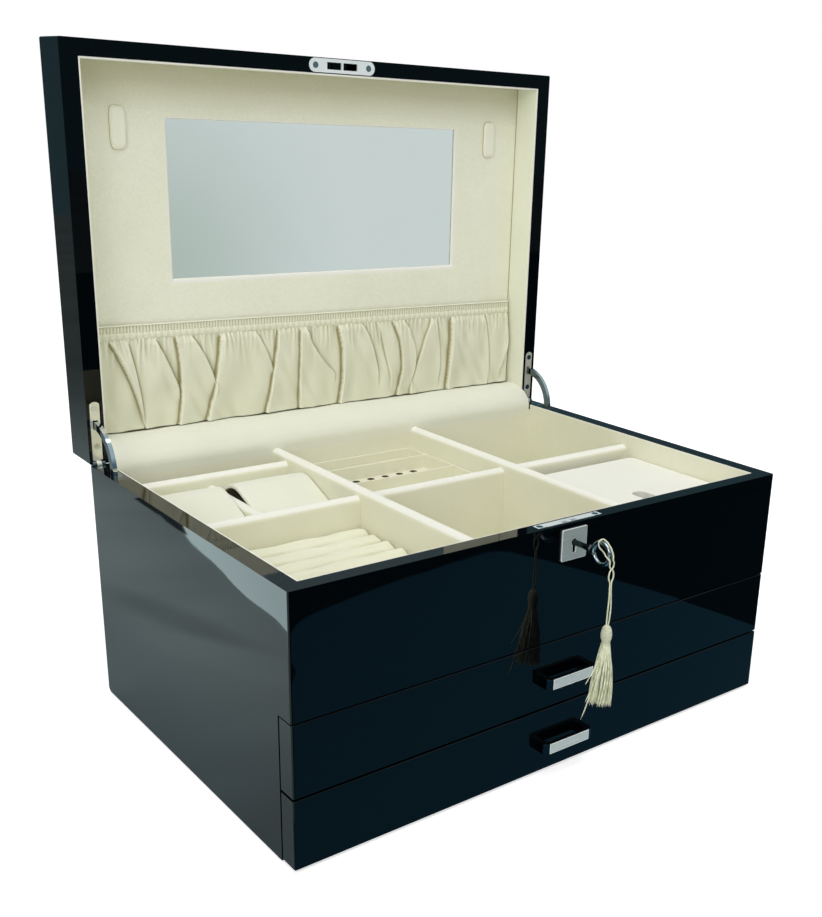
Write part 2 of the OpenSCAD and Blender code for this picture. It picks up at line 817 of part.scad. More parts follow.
// gathered pocket along the hinge side of the lid, fullest in its lower half
module lid_pocket() {
  l0 = back_y - pocket_from;
  l1 = back_y - pocket_to;
  color(velour) on_open_lid() along_x(-clear_x + 0.4, clear_x - 0.4) polygon([
    [l0, pad_z], [l0, pad_z - 4], [l0 - 6, pad_z - 9], [l0 - 22, pad_z - 11],
    [l0 - 44, pad_z - 9], [l1 + 9, pad_z - 4.5], [l1, pad_z - 4], [l1, pad_z]
  ]);
}

module catch_plate() {
  color(chrome) on_open_lid() difference() {
    translate([lock_x, from_front(catch_f), lid_z])
      linear_extrude(catch_t) round_plan(catch_w, catch_d, catch_d / 2 - 0.1);
    for (s = [-1, 1]) {
      translate([lock_x + s * (catch_bar + catch_open_w) / 2, from_front(catch_f), lid_z])
        cube([catch_open_w, catch_open_d, 4], center = true);
      translate([lock_x + s * catch_screw_x, from_front(catch_f), lid_z])
        mirror([0, 0, 1]) screw_hole();
    }
  }
}

// ---- drawers: low_z and high_z are the edges of a front, box_low and box_high those of its box ----

module drawer_front(low_z, high_z) {
  color(lacquer) difference() {
    intersection() {
      span([-half_w, front_y, low_z], [half_w, from_front(front_t), high_z]);
      outline();
    }
    for (s = [-1, 1])
      translate([s * (pull_w - pull_leg) / 2, front_y - 1, (low_z + high_z) / 2 - pull_drop])
        rotate([-90, 0, 0]) cylinder(r = pull_screw_r + 0.1, h = front_t + 2);
  }
}

module drawer_walls(low, high) {
  color(velour) {
    both_sides() span([drawer_x - drawer_side_t, from_front(front_t), low],
      [drawer_x, from_front(drawer_back_f), high]);
    span([-drawer_x + drawer_side_t, from_front(drawer_back_f - drawer_side_t), low],
      [drawer_x - drawer_side_t, from_front(drawer_back_f), high]);
  }
}

module drawer_base(low) {
  x = drawer_x - drawer_side_t;
  color(velour) span([-x, from_front(front_t), low],
    [x, from_front(drawer_back_f - drawer_side_t), low + drawer_base_t]);
}

module drawer_lining(low, high) {
  x = drawer_x - drawer_side_t;
  f1 = drawer_back_f - drawer_side_t;
  color(velour) difference() {
    span([-x, from_front(front_t + 1.5), low + drawer_base_t], [x, from_front(f1), high - 1]);
    span([-x + 1, from_front(front_t + 2.5), low + drawer_base_t + 1], [x - 1, from_front(f1 - 1), high]);
  }
}

// dividers standing on the lining, at the x positions given, and one across if cross is true
module drawer_dividers(low, high, xs, across) {
  x = drawer_x - drawer_side_t - 1;
  z0 = low + drawer_base_t + 1;
  f0 = front_t + 2.5;
  f1 = drawer_back_f - drawer_side_t - 1;
  thick = 6;
  color(velour) {
    for (at = xs) divider_y(at, f0, f1, z0, high - 3, thick);
    if (across) divider_x_way((f0 + f1 - thick) / 2, -x, x, z0, high - 5, thick);
  }
}

// a bridge pull: a flat bar on two legs, with its corners rounded outside and inside
module pull(mid_z) {
  r = 3.6;
  inner_r = 2.2;
  color(chrome) difference() {
    translate([0, front_y, mid_z - pull_h / 2]) linear_extrude(pull_h) difference() {
      union() {
        translate([-pull_w / 2, -pull_out + r]) square([pull_w, pull_out - r]);
        translate([-pull_w / 2 + r, -pull_out]) square([pull_w - 2 * r, pull_out]);
        for (s = [-1, 1]) translate([s * (pull_w / 2 - r), -pull_out + r]) circle(r);
      }
      // the opening behind the bar
      translate([-pull_w / 2 + pull_leg, -pull_out + pull_t + inner_r])
        square([pull_w - 2 * pull_leg, pull_out]);
      translate([-pull_w / 2 + pull_leg + inner_r, -pull_out + pull_t])
        square([pull_w - 2 * (pull_leg + inner_r), pull_out]);
      for (s = [-1, 1]) translate([s * (pull_w / 2 - pull_leg - inner_r), -pull_out + pull_t + inner_r])
        circle(inner_r);
    }
    for (s = [-1, 1]) translate([s * (pull_w - pull_leg) / 2, front_y - 5, mid_z]) rotate([-90, 0, 0])
      cylinder(r = pull_screw_r + 0.05, h = 6);
  }
}

module pull_screws(mid_z) {
  color(chrome) for (s = [-1, 1])
    translate([s * (pull_w - pull_leg) / 2, from_front(front_t), mid_z]) rotate([90, 0, 0]) {
      cylinder(r = pull_screw_r, h = front_t + 4.8);
      translate([0, 0, -1.4]) cylinder(r = 3, h = 1.4);
    }
}

upper_low = drawer_h + panel_gap;
upper_high = upper_z - panel_gap;
upper_box = [drawer_h + 2.4, upper_z - 6];
upper_pull_z = (upper_low + upper_high) / 2 - pull_drop;
lower_low = felt_t + 0.5;
lower_high = drawer_h - panel_gap;
lower_box = [felt_t + 6.4, drawer_h - 6];
lower_pull_z = (lower_low + lower_high) / 2 - pull_drop;

module upper_drawer_front() drawer_front(upper_low, upper_high);
module upper_drawer_walls() drawer_walls(upper_box[0], upper_box[1]);
module upper_drawer_base() drawer_base(upper_box[0]);
module upper_drawer_lining() drawer_lining(upper_box[0], upper_box[1]);
module upper_drawer_dividers() drawer_dividers(upper_box[0], upper_box[1], [-divider_x, divider_x], true);
module upper_drawer_pull() pull(upper_pull_z);
module upper_pull_screws() pull_screws(upper_pull_z);
module lower_drawer_front() drawer_front(lower_low, lower_high);
module lower_drawer_walls() drawer_walls(lower_box[0], lower_box[1]);
module lower_drawer_base() drawer_base(lower_box[0]);
module lower_drawer_lining() drawer_lining(lower_box[0], lower_box[1]);
module lower_drawer_dividers() drawer_dividers(lower_box[0], lower_box[1], [0], false);
module lower_drawer_pull() pull(lower_pull_z);
module lower_pull_screws() pull_screws(lower_pull_z);

left_side();
right_side();
front_rail();
back_panel();
tray_shelf();
drawer_shelf();
bottom_panel();
base_felt();
tray_lining();
long_dividers();
cross_dividers();
watch_separator();
ring_rolls();
earring_insert();
cover_cleats();
lock_case();
lock_plate();
escutcheon();
case_hinge_leaves();
hinge_pins();
case_screws();
hinge_gusset();
lid_front();
lid_back();
lid_sides();
lid_top();
lid_lining();
lid_pad();
lid_mirror();
lid_cushions();
lid_pocket();
catch_plate();
lid_hinge_leaves();
lid_screws();
stay_left();
stay_right();
upper_drawer_front();
upper_drawer_walls();
upper_drawer_base();
upper_drawer_lining();
upper_drawer_dividers();
upper_drawer_pull();
upper_pull_screws();
lower_drawer_front();
lower_drawer_walls();
lower_drawer_base();
lower_drawer_lining();
lower_drawer_dividers();
lower_drawer_pull();
lower_pull_screws();
claw_left();
claw_right();
key();
tassel_cord();
tassel_head();
tassel_skirt();
tray_cover();
watch_pad_left();
watch_pad_right();
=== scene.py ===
import math

import bmesh
import bpy
import numpy as np
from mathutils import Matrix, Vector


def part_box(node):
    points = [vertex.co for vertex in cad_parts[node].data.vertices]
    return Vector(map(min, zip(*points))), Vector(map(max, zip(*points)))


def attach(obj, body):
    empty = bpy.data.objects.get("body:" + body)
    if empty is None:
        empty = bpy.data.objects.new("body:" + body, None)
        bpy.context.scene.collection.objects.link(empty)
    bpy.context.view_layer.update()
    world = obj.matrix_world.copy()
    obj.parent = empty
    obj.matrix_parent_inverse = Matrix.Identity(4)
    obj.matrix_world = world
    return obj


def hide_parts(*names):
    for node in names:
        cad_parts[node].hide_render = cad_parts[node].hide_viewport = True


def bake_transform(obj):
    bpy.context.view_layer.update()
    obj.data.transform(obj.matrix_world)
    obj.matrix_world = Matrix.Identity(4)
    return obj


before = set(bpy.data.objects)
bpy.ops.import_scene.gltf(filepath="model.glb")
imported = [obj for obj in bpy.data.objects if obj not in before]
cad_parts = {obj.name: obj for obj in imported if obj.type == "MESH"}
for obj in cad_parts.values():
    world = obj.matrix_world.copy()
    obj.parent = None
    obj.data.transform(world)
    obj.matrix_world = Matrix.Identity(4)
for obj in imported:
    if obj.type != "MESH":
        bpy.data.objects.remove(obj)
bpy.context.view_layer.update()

# ---- Camera ----
# It stands in front of the box and to its left, a little above the open lid's
# middle, looking down across the tray. The long side of the frame is 36 mm.


def add_object(name, data):
    """A new object that holds the data, in the scene."""
    made = bpy.data.objects.new(name, data)
    bpy.context.scene.collection.objects.link(made)
    return made


def stand(thing, x, y, z, place):
    """Puts the camera or a lamp at a place, with its own three axes along x, y and z."""
    matrix = np.eye(4)
    matrix[:3] = np.column_stack([x, y, z, place])
    thing.matrix_world = matrix.T.tolist()


view_az, view_el, view_roll = (math.radians(a) for a in (-40.687, 18.788, 2.473))
flat = math.cos(view_el)
ahead = np.array([-math.sin(view_az) * flat, math.cos(view_az) * flat, -math.sin(view_el)])
level = np.array([math.cos(view_az), math.sin(view_az), 0.0])
above = np.cross(level, ahead)
right = level * math.cos(view_roll) + above * math.sin(view_roll)
up = above * math.cos(view_roll) - level * math.sin(view_roll)
camera_data = bpy.data.cameras.new("camera")
camera_data.lens = 44.94
camera_data.sensor_width = 36.0
camera_data.shift_x = -0.1173
camera_data.shift_y = 0.0653
camera_data.clip_start = 0.01
camera = add_object("camera", camera_data)
stand(camera, right, up, -ahead, (-0.4435, -0.5965, 0.3841))
bpy.context.scene.camera = camera

# ---- Tassel ----
# Cream viscose yarn. A crocheted loop of two strands hangs over the key's ring
# bow, a wound head ties it, and a skirt of loose threads hangs from the head.
cord_route = 0.001 * np.array([
    [0.5, -163.3, 109.2], [0.6, -163.3, 114.0], [0.9, -163.3, 120.0],
    [1.2, -163.3, 127.0], [1.1, -163.3, 133.0], [0.9, -163.3, 136.6],
    [0.0, -163.3, 138.6], [-0.4, -163.3, 140.9], [0.1, -163.3, 143.2],
    [1.0, -163.3, 144.9], [0.1, -163.3, 146.4], [-0.2, -163.3, 148.3],
    [-0.1, -163.3, 149.9], [-0.7, -162.5, 151.4], [-0.6, -160.3, 152.3],
    [0.5, -157.6, 153.3], [1.0, -155.1, 154.2], [0.2, -153.6, 155.8],
    [-0.6, -153.5, 158.2], [0.0, -153.9, 160.2], [1.4, -155.2, 161.0],
    [1.6, -157.8, 160.3], [1.6, -160.4, 158.6], [1.8, -162.4, 156.1],
    [2.1, -163.4, 153.3], [2.1, -163.6, 150.6], [3.1, -163.4, 148.5],
    [2.9, -163.3, 146.4], [2.1, -163.3, 144.9], [3.1, -163.3, 143.1],
    [3.5, -163.3, 140.9], [3.1, -163.3, 138.6], [2.2, -163.3, 136.6],
    [2.3, -163.3, 132.0], [2.9, -163.3, 125.0], [3.1, -163.3, 119.0],
    [2.6, -163.3, 113.0], [1.8, -163.3, 109.2]])


def coords(*parts):
    """Points whose coordinates are the parts, spread over one common shape."""
    return np.stack(np.broadcast_arrays(*parts), axis=-1)


def smooth_line(route, steps):
    """A smooth curve through the points: between two of them each place is the Catmull-Rom
    blend of the four nearest, a cubic in t that meets its neighbours with the same slope."""
    p = np.vstack([route[:1], route, route[-1:]])
    t = (np.arange(steps) / steps)[None, :, None]
    a, b, c, d = (p[i:len(p) - 3 + i, None, :] for i in range(4))
    q = 0.5 * (2 * b + (c - a) * t + (2 * a - 5 * b + 4 * c - d) * t ** 2 + (3 * b - a - 3 * c + d) * t ** 3)
    return np.vstack([q.reshape(-1, 3), route[-1:]])


def line_frames(line):
    """Two directions across the line at each point, square to it and to each other. The first
    is +y with its part along the line taken out, then carried smoothly on."""
    along = np.gradient(line, axis=0)
    along /= np.linalg.norm(along, axis=1)[:, None]
    across = np.empty_like(line)
    last = np.array([0.0, 1.0, 0.0])
    for i, d in enumerate(along):
        last = last - d * (last @ d)
        last /= np.linalg.norm(last)
        across[i] = last
    return across, np.cross(along, across)


def mend(source, target=None, merge=0.0, flatten=False, outward=False):
    """Works over a mesh, into the target if there is one: merges points closer than merge,
    joins faces that lie in one plane, and turns the faces of a closed mesh outwards."""
    shell = bmesh.new()
    shell.from_mesh(source)
    if merge:
        bmesh.ops.remove_doubles(shell, verts=shell.verts, dist=merge)
    if flatten:
        bmesh.ops.dissolve_limit(shell, angle_limit=0.005, verts=shell.verts, edges=shell.edges)
    if outward:
        bmesh.ops.recalc_face_normals(shell, faces=shell.faces)
    shell.to_mesh(target or source)
    shell.free()


def grid_piece(name, points, material=None, wrap_u=False, wrap_v=False, caps=False, uv=None):
    """A mesh object from one or more grids of points [..., u, v, xyz]: each quad joins four
    neighbours. wrap joins the last row or column to the first. caps closes the first and last
    rows and then turns the faces outwards. uv holds one pair of u and v to each point."""
    index = np.arange(points.size // 3).reshape(points.shape[:-1])
    a = np.concatenate([index, index[..., :1, :]], axis=-2) if wrap_u else index
    a = np.concatenate([a, a[..., :1]], axis=-1) if wrap_v else a
    quads = coords(a[..., :-1, :-1], a[..., 1:, :-1], a[..., 1:, 1:], a[..., :-1, 1:])
    faces = quads.reshape(-1, 4).tolist()
    if caps:
        ends = np.concatenate([index[..., 0, :], index[..., -1, ::-1]])
        faces += ends.reshape(-1, points.shape[-2]).tolist()
    mesh = bpy.data.meshes.new(name)
    mesh.from_pydata(points.reshape(-1, 3), [], faces)
    mesh.shade_smooth()
    if uv is not None:
        corner = np.empty(len(mesh.loops), dtype=np.int32)
        mesh.loops.foreach_get("vertex_index", corner)
        layer = mesh.uv_layers.new(name="UVMap")
        layer.data.foreach_set("uv", uv.reshape(-1, 2)[corner].astype(np.float32).ravel())
    if caps:
        mend(mesh, outward=True)
    if material:
        mesh.materials.append(material)
    return add_object(name, mesh)


def group(name, inputs, outputs):
    """A new shader node group with its input and output nodes. Its sockets are named in two
    lines of words: Color and Dark are colours, and the others are numbers."""
    tree = bpy.data.node_groups.new(name, "ShaderNodeTree")
    for side, names in (("INPUT", inputs), ("OUTPUT", outputs)):
        for socket in names.split():
            kind = "NodeSocketColor" if socket in ("Color", "Dark") else "NodeSocketFloat"
            tree.interface.new_socket(socket, in_out=side, socket_type=kind)
    return tree, tree.nodes.new("NodeGroupInput"), tree.nodes.new("NodeGroupOutput")


def feed(made, *inputs, **named):
    """Sets a node's inputs, given in order or by name. A pair of another node and one of its
    outputs makes a link, anything else is the value, with full alpha added to a colour, and
    None leaves the input alone."""
    for key, value in [*enumerate(inputs), *named.items()]:
        entry = made.inputs[key.replace("_", " ") if isinstance(key, str) else key]
        if isinstance(value, tuple) and isinstance(value[0], bpy.types.Node):
            made.id_data.links.new(value[0].outputs[value[1]], entry)
        elif value is not None:
            entry.default_value = (*value, 1.0) if entry.type == "RGBA" else value


def node(tree, kind, *inputs, **settings):
    """A new node of that kind. A setting in small letters is one of its properties, and the
    others are its inputs."""
    made = tree.nodes.new("ShaderNode" + kind)
    for key in [key for key in settings if key[0].islower()]:
        setattr(made, key, settings.pop(key))
    feed(made, *inputs, **settings)
    return made


def new_material(name, **values):
    """A new material, its node tree and its Principled shader, whose inputs take the values."""
    mat = bpy.data.materials.new(name)
    mat.use_nodes = True
    bsdf = mat.node_tree.nodes["Principled BSDF"]
    feed(bsdf, **values)
    return mat, mat.node_tree, bsdf


def yarn_material(name, dark, light):
    """Matt cream yarn: the UV map runs along a thread in u and across it in v, so noise that is
    long in u and short in v gives each thread its own tone and a fine twist."""
    mat, t, bsdf = new_material(name, Roughness=0.85, Sheen_Weight=0.3, Sheen_Roughness=0.5)
    place = node(t, "UVMap", uv_map="UVMap")
    long = node(t, "Mapping", Vector=(place, "UV"), Scale=(160.0, 2600.0, 1.0))
    tone = node(t, "TexNoise", Vector=(long, 0), Scale=1.0, Detail=3.0, Roughness=0.6)
    ramp = node(t, "ValToRGB", (tone, "Fac"))
    for end, color, position in zip(ramp.color_ramp.elements, (dark, light), (0.30, 0.62)):
        end.color, end.position = (*color, 1.0), position
    bump = node(t, "Bump", Strength=0.5, Distance=0.0002, Height=(tone, "Fac"))
    feed(bsdf, Base_Color=(ramp, "Color"), Normal=(bump, 0))
    return mat


yarn = yarn_material("cream_yarn", (0.38, 0.41, 0.21), (0.97, 1.0, 0.76))
cord_d = 0.00095
cord_line = smooth_line(cord_route, 8)
cord_a, cord_b = line_frames(cord_line)
step = np.linalg.norm(np.diff(cord_line, axis=0), axis=1)
run = np.concatenate([[0], np.cumsum(step)])
theta = np.linspace(0, 2 * np.pi, 12, endpoint=False)
# two plies: the radius swells twice round the cord, and the swell turns as it runs along
lobe = 0.80 + 0.20 * np.abs(np.cos(theta[None, :] - run[:, None] / 0.0011 * np.pi))
out = np.cos(theta)[None, :, None] * cord_a[:, None] + np.sin(theta)[None, :, None] * cord_b[:, None]
ring = cord_d / 2 * lobe[..., None] * out
cord_uv = coords(run[:, None], theta[None] * cord_d)
tassel_cord = grid_piece("tassel_loop", cord_line[:, None] + ring, yarn, wrap_v=True, caps=True, uv=cord_uv)
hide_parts("tassel_cord")

head_x, tassel_y = 0.0011, -0.1633
head_z = 0.001 * np.array([97.6, 97.9, 98.6, 99.6, 101.0, 102.6, 104.4, 106.2, 107.6, 108.8, 109.6, 110.0])
head_r = 0.001 * np.array([2.2, 2.55, 2.5, 2.5, 3.0, 3.3, 3.35, 3.1, 2.7, 2.1, 1.4, 0.6])
fine_z = np.linspace(head_z[0], head_z[-1], 90)
# above the neck upright strands, a rectified sine of the angle; below it thread wound round
neck_z = 0.1003
a, z = np.linspace(0, 2 * np.pi, 60, endpoint=False)[None, :], fine_z[:, None]
strand = 0.025 * np.abs(np.sin(12 * a + z * 160)) * (z > neck_z) + 0.05 * np.sin(z * 9000) * (z < neck_z)
around = np.interp(z, head_z, head_r) * (1 + strand)
wound_yarn = yarn_material("wound_yarn", (0.36, 0.38, 0.23), (0.78, 0.81, 0.61))
tassel_head = grid_piece("tassel_knot", coords(head_x + around * np.cos(a), tassel_y + around * np.sin(a), z),
                         wound_yarn, wrap_v=True, caps=True, uv=coords(a * 0.003, z))
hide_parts("tassel_head")
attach(tassel_head, "tassel")

strands = 168
rng = np.random.default_rng(7)
around_head = 2 * np.pi * (np.arange(strands) * 0.618034 % 1.0)
inner = np.sqrt((np.arange(strands) + 0.5) / strands)
t_line = np.linspace(0, 1, 18)[None, :]
# each thread starts under the knot, bows outwards and ends at its own height in the flared
# skirt; lower down the threads draw together into locks
locks = 2 * np.pi / 17 * np.round(around_head * 17 / (2 * np.pi)) + 0.12 * np.sin(5 * around_head)
turned = around_head[:, None] + 0.8 * np.minimum(t_line * 1.6, 1) * (locks - around_head)[:, None]
foot_x = -0.0008 + 0.0105 * inner * np.cos(locks * 0.85 + around_head * 0.15)
foot_z = 0.0550 - 0.34 * (foot_x - 0.0097) + rng.uniform(-0.0016, 0.0016, strands)
blend_t = t_line ** 1.15
spread = 0.0022 + (0.0100 - 0.0022) * blend_t + np.sin(np.pi * np.minimum(t_line * 1.1, 1)) * 0.0010
sx = head_x * (1 - blend_t) - 0.0008 * blend_t + spread * inner[:, None] * np.cos(turned)
sx += 0.0003 * np.sin(7 * t_line + around_head[:, None] * 5)
sy = tassel_y + (0.35 + 0.65 * (1 - blend_t)) * spread * inner[:, None] * np.sin(turned)
sz = 0.0985 * (1 - t_line) + foot_z[:, None] * t_line
# three threads have worked loose and stray to the left
strays = ((-0.0169, 0.0533, 0.25), (-0.0135, 0.0640, 0.20), (-0.0141, 0.0757, 0.10))
for k, (end_x, end_z, start) in enumerate(strays):
    away = np.clip((t_line[0] - start) / (1 - start), 0, 1) ** 0.9
    sx[k] = head_x + (end_x - head_x) * (0.45 * t_line[0] + 0.55 * away) + 0.0006 * np.sin(9 * t_line[0] + k)
    sy[k] = tassel_y - 0.001
    sz[k] = 0.0985 + (end_z - 0.0985) * t_line[0]
thread = coords(sx, sy, sz)
a6 = np.linspace(0, 2 * np.pi, 6, endpoint=False)
radius = (0.00036 * np.where(t_line > 0.9, (1.02 - t_line) / 0.12, 1.0))[..., None, None]
tube = thread[:, :, None, :] + radius * coords(np.cos(a6), np.sin(a6), 0.0)[None, None]
tassel_skirt = grid_piece("tassel_threads", tube, yarn, wrap_v=True, caps=True, uv=coords(
    t_line[..., None] * 0.045, around_head[:, None, None] * 0.01 + a6 * 0.0001))
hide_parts("tassel_skirt")
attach(tassel_skirt, "tassel")
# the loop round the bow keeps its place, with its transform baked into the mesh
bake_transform(tassel_cord)

# ---- Lacquered case, lid and drawer fronts ----
# Board, sprayed near-black and polished to a high gloss. The walls are glued
# and filled before spraying, so case and lid each look like one seamless shell.


def calc(tree, operation, *inputs, **settings):
    """The result of that operation on the inputs, as an output that can be linked."""
    return node(tree, "Math", *inputs, operation=operation, **settings), 0


def mix(tree, factor, start, end):
    """The colour that is start where the factor is 0 and end where it is 1; a mixing node has
    them as its inputs 6 and 7 and gives the result as output 2."""
    return node(tree, "Mix", factor, *[None] * 5, start, end, data_type="RGBA"), 2


def polish_group():
    """Gloss that is not quite even: Roughness is a base value plus faint wiped smears, and
    Height is the slow ripple of a sprayed coat with a few specks of dust in it."""
    t, i, o = group("polish", "Roughness Smear", "Roughness Height Dust")
    place = node(t, "TexCoord"), "Object"
    wipe = node(t, "Mapping", Vector=place, Scale=(1.0, 1.0, 4.0), Rotation=(0.3, 0.2, 0.5))
    smear = node(t, "TexNoise", Vector=(wipe, 0), Scale=9.0, Detail=5.0, Roughness=0.6)
    ripple = node(t, "TexNoise", Vector=place, Scale=38.0, Detail=1.0)
    specks = node(t, "TexVoronoi", Vector=place, Scale=160.0)
    wiped = calc(t, "MULTIPLY", calc(t, "POWER", (smear, "Fac"), 2.5), (i, "Smear"))
    feed(o, Roughness=calc(t, "ADD", wiped, (i, "Roughness")), Height=(ripple, "Fac"),
         Dust=calc(t, "LESS_THAN", (specks, "Distance"), 0.035))
    return t


polish = polish_group()


def lacquer_material():
    """Near-black lacquer over the polish group, with a few paler specks of dust."""
    mat, t, bsdf = new_material("black_lacquer", IOR=1.42)
    look = node(t, "Group", node_tree=polish, Roughness=0.015, Smear=0.08)
    tint = mix(t, (look, "Dust"), (0.0004, 0.0010, 0.0016), (0.008, 0.010, 0.012))
    bump = node(t, "Bump", Strength=0.06, Distance=0.0004, Height=(look, "Height"))
    feed(bsdf, Roughness=(look, "Roughness"), Base_Color=tint, Normal=(bump, 0))
    return mat


lacquer = lacquer_material()


def dress(node_name, material):
    """Gives a CAD node that stays as it is its own material."""
    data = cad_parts[node_name].data
    data.materials.clear()
    data.materials.append(material)


def each(items, key):
    """The place or the direction that each point or face of a mesh has, one row to each."""
    rows = np.empty(len(items) * 3)
    items.foreach_get(key, rows)
    return rows.reshape(-1, 3)


def from_nodes(name, nodes, material, body, width, segments=3, play=0.0):
    """One piece from one or more CAD nodes. Nodes that touch are joined by a boolean union,
    so that no seam shows where they meet, and then edges sharper than 35 degrees are rounded
    by the width. play trims that much off the piece's sides, top and bottom."""
    parts = []
    for n in nodes:
        mesh = bpy.data.meshes.new(name)
        mend(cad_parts[n].data, mesh, merge=1e-6, flatten=True)
        parts.append(add_object(name, mesh))
    piece = parts[0]
    for other in parts[1:]:
        join = piece.modifiers.new("join", "BOOLEAN")
        join.operation = "UNION"
        join.solver = "EXACT"
        join.object = other
        solid = bpy.data.meshes.new_from_object(piece.evaluated_get(bpy.context.evaluated_depsgraph_get()))
        piece.modifiers.clear()
        piece.data = solid
        bpy.data.objects.remove(other)
    if len(parts) > 1:
        mend(piece.data, merge=1e-6, flatten=True)
    if play:
        spot = each(piece.data.vertices, "co")
        side = np.sign(spot - (spot.min(axis=0) + spot.max(axis=0)) / 2)
        piece.data.vertices.foreach_set("co", (spot - play * side * np.array([1, 0, 1])).ravel())
    piece.name = name
    piece.data.shade_smooth()
    bevel = piece.modifiers.new("bevel", "BEVEL")
    bevel.width = width
    bevel.segments = segments
    bevel.limit_method = "ANGLE"
    bevel.angle_limit = math.radians(35.0)
    normal = piece.modifiers.new("normal", "WEIGHTED_NORMAL")
    normal.weight = 50
    normal.keep_sharp = True
    piece.data.materials.clear()
    piece.data.materials.append(material)
    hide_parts(*nodes)
    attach(piece, body)
    return piece


from_nodes("case_shell", ["left_side", "right_side", "front_rail", "back_panel"], lacquer,
           "case", 0.0011)
from_nodes("lid_shell", ["lid_front", "lid_back", "lid_sides", "lid_top"], lacquer, "lid", 0.0008)
for level_name in ("upper", "lower"):
    board = from_nodes(level_name + "_front_board", [level_name + "_drawer_front"], lacquer,
                       level_name + "_drawer", 0.0006, play=0.0003)
    board.modifiers["bevel"].use_clamp_overlap = False
for n in ("tray_shelf", "drawer_shelf", "bottom_panel"):
    dress(n, lacquer)

# ---- Velour linings and dividers ----
# Thin board covered with short cream pile, glued to the walls; the dividers are
# padded board with rounded tops. The pile lies in slightly different ways.


def remap(tree, source, low, high, to_low=0.0, to_high=1.0, smooth=False):
    """The source with low to high mapped onto the second range, straight or as a smooth step."""
    kind = "SMOOTHSTEP" if smooth else "LINEAR"
    return node(tree, "MapRange", source, low, high, to_low, to_high, interpolation_type=kind), 0


def nap_group():
    """Short pile: Color is the cloth's colour, a little darker where slow noise says the pile
    is brushed the other way, with a fine grain over it; Height is the grain alone."""
    t, i, o = group("nap", "Color Dark Grain", "Color Height")
    place = node(t, "TexCoord"), "Object"
    slow = node(t, "TexNoise", Vector=place, Scale=14.0, Detail=3.0, Roughness=0.6)
    grain = node(t, "TexNoise", Vector=place, Scale=(i, "Grain"), Detail=3.0, Roughness=0.7)
    patch = remap(t, (slow, "Fac"), 0.35, 0.75, 0.0, 0.22)
    fine = remap(t, (grain, "Fac"), 0.3, 0.7, 0.0, 0.30)
    both = calc(t, "ADD", patch, fine, use_clamp=True)
    feed(o, Color=mix(t, both, (i, "Color"), (i, "Dark")), Height=(grain, "Fac"))
    return t


nap = nap_group()


def velour_material(name, color, dark, grain=1500.0, depth=0.00015, crease=False):
    """Velour over the nap group, with a soft sheen from the standing pile. With crease it paints
    shade, yellower and darker, where the piece's crease attribute is high, and a paler painted highlight where it
    is low."""
    mat, t, bsdf = new_material(name, Roughness=0.95, Specular_IOR_Level=0.15,
                                Sheen_Weight=0.25, Sheen_Roughness=0.6)
    look = node(t, "Group", node_tree=nap, Color=color, Dark=dark, Grain=grain)
    shown = look, "Color"
    if crease:
        fold = node(t, "Attribute", attribute_name="crease"), "Fac"
        shown = mix(t, remap(t, fold, 0.5, 0.0, 0.0, 0.6), shown, (0.96, 0.97, 0.85))
        shown = mix(t, remap(t, fold, 0.5, 1.0, 0.0, 0.9), shown, (0.30, 0.26, 0.10))
    bump = node(t, "Bump", Strength=0.6, Distance=depth, Height=(look, "Height"))
    feed(bsdf, Base_Color=shown, Normal=(bump, 0))
    return mat


velour = velour_material("cream_velour", (0.86, 0.855, 0.70), (0.65, 0.63, 0.43))
bright_velour = velour_material("bright_velour", (0.93, 0.94, 0.79), (0.76, 0.77, 0.58))
pale_velour = velour_material("pale_velour", (0.87, 0.88, 0.75), (0.69, 0.70, 0.55))
# a paler copy of the velour that paints highlights where light falls on tops and edges
highlight_velour = velour_material("highlight_velour", (0.94, 0.94, 0.86), (0.80, 0.80, 0.69))


def set_faces(data, index, *materials):
    """Adds the materials to a mesh and gives each face the material that its index says."""
    for material in materials:
        data.materials.append(material)
    data.polygons.foreach_set("material_index", np.asarray(index).astype(np.int32))


def paint_edge_highlight(piece, material, direction):
    """Gives the faces at the piece's far end in one direction a second, paler material: a
    painted highlight along the board's edge there."""
    reach = each(piece.data.polygons, "center") @ np.array(direction)
    turned = each(piece.data.polygons, "normal") @ np.array(direction)
    set_faces(piece.data, (turned > 0.9) & (reach > reach.max() - 0.006), material)


tray_boards = from_nodes("tray_boards", ["tray_lining"], velour, "case", 0.0003)
# painted highlight along the lining's top edge
paint_edge_highlight(tray_boards, highlight_velour, (0.0, 0.0, 1.0))
# painted highlight: the faces of the dividers and cleats that look up take the paler velour
for n in ("long_dividers", "cross_dividers", "watch_separator", "cover_cleats"):
    dress(n, velour)
    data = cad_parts[n].data
    set_faces(data, each(data.polygons, "normal")[:, 2] > 0.4, highlight_velour)
insert = from_nodes("earring_tray", ["earring_insert"], velour, "case", 0.0004)
# inside the earring holes the walls are painted dark: painted shade
insert.data.materials.append(velour_material("hole_wall_shade", (0.16, 0.12, 0.05), (0.08, 0.06, 0.02)))
for face in insert.data.polygons:
    if abs(face.normal.z) < 0.5 and 0.1292 < face.center.z < 0.1345 and face.area < 1e-4:
        face.material_index = 1
# the whole cover takes the paler highlight velour, painted lighter
from_nodes("lift_out_cover", ["tray_cover"], highlight_velour, "cover", 0.0012, 4)
lid_walls = from_nodes("lid_wall_lining", ["lid_lining"], bright_velour, "lid", 0.0003)
# painted highlight along the lining's front edge
paint_edge_highlight(lid_walls, highlight_velour, (0.0, -1.0, 0.0))
for level_name in ("upper", "lower"):
    for part in ("_drawer_walls", "_drawer_base", "_drawer_lining", "_drawer_dividers"):
        dress(level_name + part, velour)

# ---- Ring rolls ----
# Foam rolls wrapped in one piece of velour that is tucked down between them;
# the block is pushed into the front left bin.


def set_crease(piece, values):
    """Stores the crease attribute, one value to each point, from which velour_material paints shade and highlight.
    """
    layer = piece.data.attributes.new("crease", "FLOAT", "POINT")
    layer.data.foreach_set("value", np.ravel(values))


